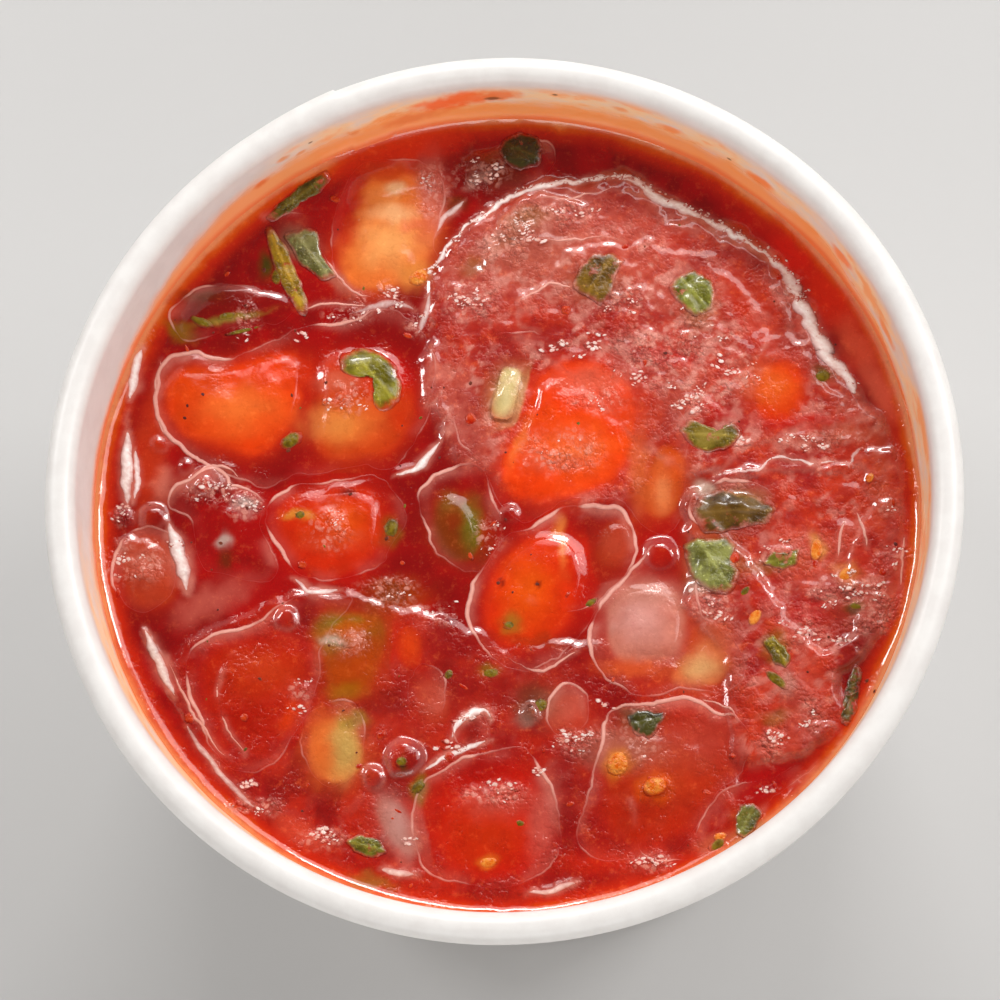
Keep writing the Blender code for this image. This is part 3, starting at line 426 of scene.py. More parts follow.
def fleshy_mesh(cad_node, seed):
    """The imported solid, rounded, remeshed finely and given a cut flesh's uneven surface."""
    bm = bmesh.new()
    bm.from_mesh(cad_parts[cad_node].data)
    bmesh.ops.remove_doubles(bm, verts=bm.verts, dist=1e-6)
    data = bpy.data.meshes.new(cad_node)
    bm.to_mesh(data)
    bm.free()
    shape = bpy.data.objects.new("shape_" + cad_node, data)
    bpy.context.scene.collection.objects.link(shape)
    grid = shape.modifiers.new("grid", "REMESH")
    grid.mode = "VOXEL"
    grid.voxel_size = VOXEL
    even = shape.modifiers.new("even", "SMOOTH")
    even.factor = 0.5
    even.iterations = 6
    done = evaluated_mesh(shape)
    bpy.data.objects.remove(shape, do_unlink=True)
    bpy.data.meshes.remove(data)
    done.name = cad_node + "_dice"
    places = vertices_of(done)
    middle = places.mean(axis=0)
    away = places - middle
    out = away / np.linalg.norm(away, axis=1)[:, None]
    x, y, z = places.T
    relief = 0.16 * lattice(x + z, y - z, 1.8 * MM, seed)
    relief += 0.08 * lattice(x - z, y + z, 0.7 * MM, seed + 1)
    places += out * (relief * MM)[:, None]
    return done, places, middle


def dice_tones(name, places, middle):
    """Colour of every point of a dice: main flesh, a second tone, and skin on one side."""
    main, second, spot, skin_side, _ = DICE[name]
    away = (places - middle) / MM
    spot_x, spot_y, reach_x, reach_y = spot
    streak = lattice(places[:, 0], places[:, 1], 1.3 * MM, 7)
    near = ((away[:, 0] - spot_x) / reach_x) ** 2 + ((away[:, 1] - spot_y) / reach_y) ** 2
    tones = blend(seen(*main), seen(*second), np.exp(-near * (1 + 0.5 * streak)))
    mottle = 0.6 * lattice(places[:, 0], places[:, 1], 0.9 * MM, 8) + 0.4 * lattice(*places[:, :2].T, 0.45 * MM, 9)
    tones = tones * (1 + 0.16 * mottle)[:, None]
    if skin_side is not None:
        turn = math.radians(skin_side)
        half = np.abs(away[:, :2]).max(axis=0)
        along = (away[:, 0] / half[0]) * math.cos(turn) + (away[:, 1] / half[1]) * math.sin(turn)
        tones = blend(tones, seen(*SKIN_TONE), smooth_step(along + 0.18 * streak, 0.4, 0.85))
    return tones


dice_shapes = {}
for count, dice_name in enumerate(DICE):
    shape, places, middle = fleshy_mesh(dice_name, 11 * count)
    dice_shapes[dice_name] = (shape, places, dice_tones(dice_name, places, middle))


# Sauce
# One body of wet tomato sauce, filled to its level in the cup. It climbs the wall a little,
# swells in a film over every piece, and stands proud where the pulp is thick.
LEVEL = 40.2 * MM
CLIMB = 0.8 * MM
SAUCE_FLOOR = 6.05 * MM
GRID_STEP = 0.15 * MM
MOAT_REACH = 0.9 * MM
FILM_REACH = 0.3 * MM
SURFACE_CELLS = 308
# Share of a piece's height over the level that its swell of film keeps
SWELL_SHARE = 0.38
# The film's own small lip along the edge of each swell
FILM_LIP = 0.17 * MM
LIP_WIDTH = 0.5
# Thick pulp: its height, the width of its shore, how much painted sheen, a pale pink reflection
# of the wide light, lies over it, and the shore walked round in millimetres from the cup's axis
PULP_MASSES = (
    (0.42, 1.6, 1.0, ((-6.2, 21), (-5, 23.2), (-2.6, 25.6), (-0.6, 27.5), (2.5, 28.7),
           (6.3, 29.2), (10.2, 29.6), (13, 27.6), (16.7, 26), (20.1, 23.9), (22.6, 22.2),
           (24.6, 19.4), (26, 16.2), (28.4, 12.2), (31, 9), (33, 5), (32, 2),
           (17, 3), (6, -1), (-4, 4), (-7, 10))),
    (0.6, 1.3, 0.6, ((15.5, 1.5), (20, 3.6), (29, 3.9), (31, 5), (33.5, 4.8), (34.2, -3),
            (33.2, -9), (30, -12.5), (28, -14.5), (28, -19), (24, -22), (19, -22),
            (18, -14), (15, -8))),
    (0.28, 1.0, 0.1, ((-27, -12), (-28, -16), (-26.5, -20), (-21.5, -25.5), (-15, -30), (-8, -33),
            (3, -34), (9, -33), (14, -31), (19, -27), (20, -18), (12, -12), (0, -12),
            (-10, -8), (-20, -8))),
)
# Along this line inside the far shore the pulp is covered by clear sauce and has less painted sheen: half width and
# line
CLEAR_BAND = (2.2, ((14.5, 24.4), (19, 22), (22.4, 18.6), (24.4, 14.6), (27.6, 10.6)))
# Painted highlights: white streaks where the wet film catches the light, along the pulp's far
# edge and by the left wall, laid as pale froth: half width, strength, and the line they follow
HIGHLIGHT_STREAKS = (
    (0.24, 0.85, ((-6, 21.6), (-4.6, 23.8), (-2.3, 25.9), (-0.6, 27.4), (1.1, 28.2), (4.6, 29),
                  (8.1, 29.3), (10.4, 29.4), (11.8, 28.6), (13, 27.6))),
    (0.42, 0.95, ((9.8, 29.3), (11.6, 28.8), (13.2, 27.4), (15, 26.8), (16.7, 25.9), (18.2, 25))),
    (0.28, 0.9, ((15.8, 26.4), (18.4, 24.9), (20.1, 23.8), (22.4, 22.2), (24.2, 20), (24.9, 18.6))),
    (0.46, 0.95, ((23.2, 21.4), (24.4, 19.8), (25.2, 17.9), (26.1, 15.8), (27, 14.1), (28.4, 11.9),
                  (30, 9.6))),
    (0.4, 0.95, ((-31.3, 14.2), (-31.9, 11.9), (-32.3, 9.4))),
    (0.46, 0.95, ((-32.3, 6.8), (-32.3, 3.6), (-32.1, 0.2))),
    (0.26, 0.75, ((-31.5, 5.4), (-31.4, 2.6), (-31.5, 0.4))),
    (0.52, 0.9, ((-28.6, -1.2), (-27.8, -3), (-27.2, -5), (-26.7, -7.4))),
    (0.44, 0.85, ((-30.3, -10.5), (-29.4, -12.6), (-28.2, -14.8), (-27.3, -16.4))),
    (0.3, 0.9, ((-9.4, 2.8), (-7.9, 3.3), (-6.4, 4.7), (-5.4, 5.9))),
    (0.3, 0.95, ((-4.3, -20), (-3.8, -18.7), (-2.8, -17.9), (-1.5, -17.6), (-1, -18.4))),
    (0.24, 0.85, ((-6.6, -22.8), (-4.9, -21.7), (-3, -20.7), (-1, -19.9))),
    (0.28, 0.6, ((-7.5, 15.4), (-6.8, 17.4), (-6.4, 19.6))),
    (0.26, 0.5, ((-13.2, 17.4), (-10.2, 18.2), (-7.6, 17.6))),
    (0.26, 0.7, ((-17.8, -6), (-16.2, -7.4), (-13.6, -7.2))),
    (0.24, 0.7, ((-10.2, -30.9), (-8.6, -31.2), (-6.9, -31.4))),
    (0.26, 0.7, ((2.1, -32.9), (3.9, -32.7), (6.1, -32))),
    (0.26, 0.6, ((-26.6, -18.4), (-24.6, -21.4), (-22.4, -24), (-20.2, -26))),
    (0.15, 0.6, ((17.6, 2.6), (20.8, 2.9), (23, 4), (26, 3.6), (28.4, 3.7), (30.4, 4.8))),
    (0.24, 0.6, ((-3.6, 27.6), (-5.4, 26.2), (-6.2, 24.4))),
)
# Thin folds lying on the pulp
PULP_FOLDS = (
    (0.16, ((-0.7, 25.2), (0.5, 26.7), (2, 27.5), (3.6, 27.7), (5.9, 27.4), (8.1, 28),
            (10.2, 28.3), (12.4, 27.4), (13.4, 25.8), (16.6, 25), (19.6, 23.4), (22.4, 21.3),
            (23.6, 17.9), (24.7, 14.3), (26.5, 11.4), (28.8, 8.9), (27.8, 6.7), (24.9, 6.8),
            (21.5, 5.4), (16.4, 2.8), (11.4, 5.5), (8, 9.1), (4.6, 12.7), (-0.5, 15.4),
            (-3.1, 19.1))),
    (0.14, ((1.2, 18.2), (2.7, 19.2), (3.9, 20.3), (4.9, 21.5), (5.3, 22.6), (6.8, 23.3),
            (8.9, 23.2), (11.5, 23.4), (15.8, 22.3), (19.6, 20.2), (21.8, 17), (22.5, 13.9),
            (19.9, 12.5), (16.5, 13.5), (12.3, 12.6), (8, 14), (3.8, 14.5), (1.2, 15.8))),
    (-0.3, ((16.4, 2.1), (19.8, 2.5), (22.5, 3.1), (24.8, 3.3), (27.3, 2.9), (29.7, 3.4),
            (30.5, 2.3), (30.5, -0.3), (28.9, -3.3), (28.4, -6.4), (29.6, -9.4),
            (28.7, -11.9), (26.2, -12.7), (24.6, -11), (22.2, -8.5), (20.5, -5),
            (18.9, -2.4), (16.4, 0.2))),
)
# Swells of the film round the pieces: height, width of the rounded edge, how strongly the pale
# lip at their edge shows, partly painted highlight, and outline
FILM_SWELLS = (
    (1, 1.7, 0.95, ((-29.9, 10.8), (-29.8, 12.4), (-28.8, 13.5), (-26.7, 14), (-24.3, 13.3), (-22.4,
     13.9), (-20.9, 14.5), (-19, 15.5), (-17.7, 16.2), (-15.1, 16.4), (-13, 16.8), (-11.3, 17.6),
     (-9.1, 17.2), (-7.4, 15.8), (-6.3, 13.8), (-6.1, 11.1), (-6.4, 8.4), (-7.6, 5.8), (-9.1, 4),
     (-10.6, 3.3), (-11.9, 3.8), (-14.8, 3.3), (-17.8, 2.8), (-20.6, 1.8), (-22.9, 2.9), (-25.5,
     3.9), (-28.1, 5.9), (-29.5, 7.7), (-30.1, 9.5))),
    (0.9, 1.3, 0.95, ((-20, 0.3), (-18.6, 1.4), (-16.5, 2.1), (-14, 2.4), (-11.6, 2.8), (-9.9, 2.2),
     (-8.7, 0.5), (-8.5, -1.3), (-9.6, -3.4), (-10.9, -5.2), (-13, -6), (-15.1, -6.5), (-16.8,
     -6), (-18.1, -4.9), (-19.4, -3), (-20.2, -1.2))),
    (0.8, 1.2, 0.8, ((-7.3, 1.3), (-6.5, 2.6), (-5.1, 3.3), (-3, 3.8), (-1.9, 3.1), (-1.3, 1.1),
     (-0.4, -0.6), (-0.2, -2.2), (-1, -3.9), (-1.7, -5.3), (-3.1, -5.6), (-4.6, -5), (-5.7,
     -3.9), (-6.5, -2.2), (-7.2, -0.4))),
    (1.2, 1.6, 0.35, ((-4.2, 11.8), (-3.1, 13.7), (-0.5, 15.1), (4.6, 15), (9.7, 12.7), (13.1, 9.6),
     (15.6, 6.5), (15.3, 3.8), (15.1, 0.3), (13.7, -2.3), (12.2, -2.1), (11, -1), (9.7, 0.3), (8,
     0.4), (6.3, 0.6), (4.7, 0.4), (3.4, -0.3), (1.5, -1.2), (0, -0), (-1.1, 1.3), (-2.1, 4.1),
     (-3.8, 5.7), (-4.4, 8.8))),
    (1, 1.5, 0.95, ((-0.6, -3.5), (0.6, -2.2), (2.1, -1.7), (3.6, -0.8), (4.8, -0.1), (6.8, -0.1),
     (8.4, -0.3), (9.7, -0.3), (10.6, -1.6), (11.1, -2.9), (11.2, -4.2), (10.5, -5.6), (9.3,
     -6.9), (8, -8.3), (7.2, -10), (5.9, -11.7), (3.8, -13.4), (1.4, -14.1), (-1.1, -13), (-2.8,
     -10.4), (-3, -7.8), (-2, -5.5))),
    (0.95, 1.4, 0.95, ((11.8, -4.6), (12.6, -3.4), (13.9, -3.2), (14.9, -3.6), (15.7, -5.3), (16.3,
     -8.4), (16.8, -9.9), (18, -10.8), (19.2, -12), (19.8, -13.9), (19.6, -15.6), (18.1, -16.2),
     (16.3, -15.9), (14.6, -15.8), (12.1, -16.2), (9.7, -15.8), (8, -14.5), (7.2, -12.2), (7.7,
     -9.3), (9, -7.5), (10.5, -5.9))),
    (0.95, 1.6, 0.9, ((-26.2, -16.3), (-26.6, -14.1), (-26.1, -12.4), (-24.8, -11.3), (-22.5, -10.5),
     (-20.3, -9.9), (-19.2, -8.6), (-17.1, -7.8), (-14.6, -7.7), (-12.9, -8.2), (-15.2, -11.6),
     (-15.5, -15), (-16.5, -17.6), (-17.7, -20.1), (-19.3, -22.2), (-21.8, -22.6), (-24.2,
     -20.9), (-25.2, -18.4))),
    (0.8, 1.2, 0.8, ((-32.8, -3.6), (-31.9, -2.2), (-30.2, -1.6), (-28.6, -1.9), (-27.9, -3.3),
     (-27.7, -5.1), (-28.1, -7.2), (-29.1, -8.5), (-30.8, -9), (-32.3, -8.1), (-33.2, -6.4),
     (-33.3, -4.8))),
    (0.5, 0.9, 0.75, ((-28.6, 1.3), (-27.4, 2.4), (-25.9, 2.9), (-24.9, 3.5), (-23.8, 3.2), (-23.2,
     2), (-21.6, 1.4), (-20.7, 0.6), (-20.7, -1.4), (-20, -3.4), (-19.2, -5.4), (-20.5, -6.6),
     (-23.5, -5.7), (-25.7, -5.1), (-26.1, -2.9), (-26.6, -1), (-28.2, -0))),
    (1, 1.6, 0.9, ((-6.5, -23.3), (-5.4, -22.7), (-3.6, -21.7), (-1.1, -20.9), (1, -20.6), (2.2,
     -21), (2.9, -22.5), (3.9, -24.1), (4.5, -25.8), (4.8, -27.7), (4.5, -29.6), (3.5, -31),
     (1.4, -32.2), (-1, -32.5), (-3.5, -32), (-5.9, -31.2), (-7.1, -29.3), (-7.5, -26.9), (-7.3,
     -24.8))),
    (1, 1.6, 0.9, ((8, -20.4), (8.4, -18.4), (9.2, -17.4), (11.3, -17), (13.8, -16.8), (15.4, -16.6),
     (17.4, -17.7), (19.1, -18.3), (20, -19.5), (20.3, -20.7), (19.8, -22.2), (19.3, -23.1), (18,
     -24.4), (16.5, -25.9), (15.5, -27.7), (14.2, -29.1), (11.7, -29.8), (9.2, -30.2), (7.2,
     -29.8), (6.2, -28.1), (6.5, -26.1), (7.2, -24), (7.7, -22.3))),
    (0.8, 1.1, 0.7, ((3.6, -18.5), (3.6, -17), (4.4, -15.8), (5.3, -15.4), (6.4, -15.8), (7, -17.3),
     (6.8, -18.8), (5.9, -19.6), (4.4, -19.6))),
    (0.8, 1.1, 0.35, ((-16.8, -20.6), (-16.8, -19.1), (-16.6, -17.8), (-14.8, -17.1), (-12.8, -16.9),
     (-11.7, -18.1), (-11.6, -20.1), (-12, -22.2), (-13, -23.6), (-14.3, -23.8), (-15.8,
     -22.9))),
    (0.7, 0.9, 0, ((-10.8, -24.2), (-8.8, -24.2), (-7.1, -26.7), (-5.8, -29.2), (-6.1, -30.8), (-8,
     -30.3), (-9.8, -27.9))),
    (0.8, 1, 0, ((-15.5, -9.3), (-13.3, -8.7), (-10, -9.1), (-9.3, -11.7), (-9.8, -15.1), (-11.1,
     -17.1), (-13.6, -17.1), (-15, -15.9), (-15.5, -12.5))),
    (0.75, 0.9, 0.5, ((-7.6, -14.1), (-6.1, -13.6), (-5, -14.8), (-4.7, -16.4), (-5.3, -17.6), (-6.8,
     -17.8), (-7.9, -16.6))),
    (0.7, 0.9, 0.5, ((-4.3, -18.9), (-3.6, -18), (-2.3, -17.7), (-1.4, -18.7), (-1.3, -19.9), (-2.6,
     -20.5), (-3.9, -20.2))),
    (0.8, 1.3, 0.4, ((-15.1, 23.8), (-14.9, 26.6), (-14, 29.4), (-12.3, 31), (-9.3, 31.5), (-6.7,
     30.8), (-5.5, 28.8), (-5.8, 26), (-6.3, 23.7), (-5.7, 21.7), (-5.7, 19.9), (-7.1, 18.7),
     (-9.1, 19), (-11.3, 19.4), (-13.9, 19.6), (-14.9, 21.5))),
    (0.5, 0.9, 0.45, ((-28.8, 16.9), (-28.1, 18.5), (-26.8, 19.7), (-25.1, 20.1), (-23, 19.9), (-21,
     19.5), (-19.1, 19.1), (-18.4, 17.9), (-19.8, 16.4), (-22.4, 16.5), (-25, 15.6), (-27.6,
     15.1))),
    (1.35, 1.1, 0.2, ((20.8, 11.6), (22, 13.1), (23.8, 13.3), (25.5, 12.2), (26.3, 10.4), (26, 8.5),
     (24.5, 7.3), (22.4, 7.1), (20.9, 8.6))),
    (0.8, 1.1, 0.7, ((16.2, -26.5), (17.5, -25.1), (19.2, -23.9), (21.8, -23.4), (24.4, -22.4),
     (25.4, -24.4), (21.9, -27.3), (18.6, -29.4), (16.5, -30.2), (15.7, -28.6))),
    (0.6, 0.9, 0.5, ((-3.6, 30.6), (-2.4, 31.8), (-0.2, 32.9), (2, 33.3), (3.9, 32.7), (4.2, 31),
     (2.9, 29.3), (0.7, 28.7), (-1.5, 28.3), (-3.2, 29))),
    (1.5, 1, 0.7, ((15.6, -1.4), (15.6, 0.3), (16.9, 1.4), (18.5, 2.2), (20.6, 2), (22.5, 1), (22.8,
     -0.8), (21.6, -2.2), (19.3, -2.5), (17.1, -2.3))),
)
# Creases and small ridges of the film: height, width, and the line they follow, with the
# gentle side on the left
FILM_RIDGES = (
    (0.3, 0.8, ((-31.5, 0.5), (-31.8, 2.6), (-32.3, 5))),
    (0.3, 0.8, ((-32.3, 5.9), (-32.3, 8.6), (-31.9, 11.8), (-31.2, 14.5))),
    (0.3, 0.8, ((-26.4, -7.1), (-26.9, -4.6), (-27.8, -2.5), (-28.7, -1.1))),
    (0.3, 0.8, ((-27.7, -15.8), (-28.4, -14), (-29.4, -12), (-30.3, -10.5))),
    (0.24, 0.7, ((-9.4, 2.8), (-7.9, 3.3), (-6.4, 4.7), (-5.4, 5.7))),
    (0.2, 0.5, ((-6.1, 13.3), (-5.8, 10.6), (-5.4, 8.1))),
    (0.2, 0.5, ((-6.7, 15.6), (-6.3, 13.8), (-6.4, 11.8))),
    (0.24, 0.7, ((-4.3, -20), (-3.8, -18.7), (-2.8, -17.9), (-1.5, -17.6), (-1.1, -18.2))),
    (0.2, 0.5, ((-10, -30.7), (-8.6, -31), (-6.9, -31.2))),
    (0.24, 0.7, ((2.1, -32.9), (3.9, -32.7), (6.1, -32))),
    (0.12, 0.36, ((-18.4, -6), (-16.3, -7.3), (-13.4, -7.3))),
    (0.12, 0.36, ((-26.3, 3.2), (-25.1, 3.8), (-23.5, 3.4), (-22.5, 2.5))),
    (0.12, 0.36, ((-29.8, 13.4), (-30.2, 10.8), (-29.7, 7.7), (-28.6, 5.9))),
    (0.12, 0.36, ((-28.4, -12.9), (-27, -15.8), (-25.2, -18.8), (-22.6, -21.8))),
    (0.12, 0.36, ((-21.2, 26.3), (-18.8, 26.6), (-16.4, 26.4))),
    (0.12, 0.36, ((-18.6, 19.3), (-17.7, 17.7), (-15.6, 18.4), (-11.7, 17.9))),
    (0.12, 0.36, ((-16.3, 23.5), (-14.3, 20.6), (-12.9, 19.3), (-10.4, 18.3))),
    (0.12, 0.36, ((10.4, -25.2), (11.3, -29.4), (14.5, -30.2), (17.8, -29.1))),
    (0.12, 0.36, ((19.7, -28.2), (21.9, -25.3), (25.2, -22.8), (27.7, -20.3))),
    (0.12, 0.36, ((-0.3, 21.7), (2, 23.7), (4.6, 23.6), (8.1, 24), (10.2, 23.6))),
    (0.12, 0.36, ((1.2, 18.2), (3.3, 19.5), (5.9, 19.2))),
    (0.12, 0.36, ((-0.4, 25), (0.8, 26.8), (3, 27.5), (5.4, 27.6), (7.4, 28), (9.6, 28.5))),
    (0.12, 0.36, ((2.2, -8.3), (4.7, -9.3), (7.2, -8.6), (8, -8))),
    (0.12, 0.36, ((-0.3, -13), (3, -14.1), (6.3, -12.6))),
    (0.12, 0.36, ((-22.9, -12.9), (-24.1, -15.9), (-23.1, -18.8), (-21.4, -21.4))),
    (0.12, 0.36, ((28.4, -1.6), (27.9, -4.7))),
    (0.12, 0.36, ((29.6, -1), (30.2, -3.8))),
    (0.12, 0.36, ((33.4, -2.9), (32.9, -7.4))),
    (0.12, 0.36, ((16.3, -16.9), (18.7, -17.6), (20.5, -19.8))),
)
# Round drops and bubbles standing on the surface: middle and radius
DROPS = (
    (-32.2, -0.7, 0.8), (-29.9, -0.7, 1.2), (-25.6, 2.3, 1.3), (-32, -3, 0.7),
    (13.1, -4.2, 1.4), (-18.4, -9.7, 1.0), (-29.6, 5.6, 0.65), (-27.2, 3.8, 0.65),
    (-10.8, -23.2, 1.0), (-8.2, -21.6, 1.6), (26.8, -19.9, 1.1), (0.4, -0.7, 0.9),
    (2.2, -17.9, 0.9),
)
# Rough wet spots where shreds of flesh break the surface: middle and reach each way
ROUGH_SPOTS = (
    (11.4, 13.6, 3.8, 2.8), (16.6, 14.6, 3.2, 2.3), (4.6, 26.2, 3.8, 1.4), (1.2, 25, 2.5, 1.4),
    (8.9, 18.1, 4.2, 1.9), (19.7, 11.5, 2, 2.3), (30.6, -8.9, 2.4, 3.3), (-31.4, -4.6, 2.5,
    2.1), (-3.5, 18.4, 3.2, 2.3), (-7.4, 16.3, 1.7, 1.2), (-13.8, 17.1, 2.5, 0.79), (-22.4,
    16.8, 1.2, 1.6), (-2.5, 30.1, 2.5, 1.9), (26.1, 5.7, 3.4, 0.79), (24.4, 18.7, 1.7, 1.8),
    (-10.8, 18.7, 2.1, 1.6), (-24.6, 1.4, 2.7, 1.2), (-22.2, 0.3, 1.5, 1.8), (-32.6, -0.7, 1,
    0.88), (6.3, -20.4, 2.4, 1.2), (-0.9, -24.6, 2.7, 1.1), (11.3, -19.8, 1.7, 2.3), (17.3,
    -8.9, 2, 1.6), (24.8, -11.3, 1.7, 1.8), (-6.6, 28.6, 1.4, 2.8), (23, -4.6, 1.7, 1.2), (28.1, -7.6, 2.4, 1.9), (-1.4,
    -2.7, 1.2, 1.8), (-10, -7.4, 2.7, 1.4), (-5.2, -9.1, 2.2, 1.2), (-13.3, -11.8, 2.2, 1.2),
    (-20.5, -25.7, 2.7, 0.88), (-15, -28.4, 2.2, 0.88), (12.1, -30.4, 1.7, 0.88), (25.3, -18.4,
    1.3, 1.8), (22.1, -20.7, 1, 1.6), (8, 9.1, 2.7, 1.2), (13.6, 10.6, 2.9, 0.79), (4.6, 4.6,
    3.5, 2.1), (-14.7, -2.1, 2, 1.9), (-13.3, 9.8, 2.2, 1.9), (32.3, -0.5, 1.2, 1.1), (32.2, -5,
    1.3, 1.4), (16.9, 9.1, 2.2, 1.1), (-0.6, 23.6, 2.2, 1.9), (-16.9, -15.9, 1.3, 0.88),
)
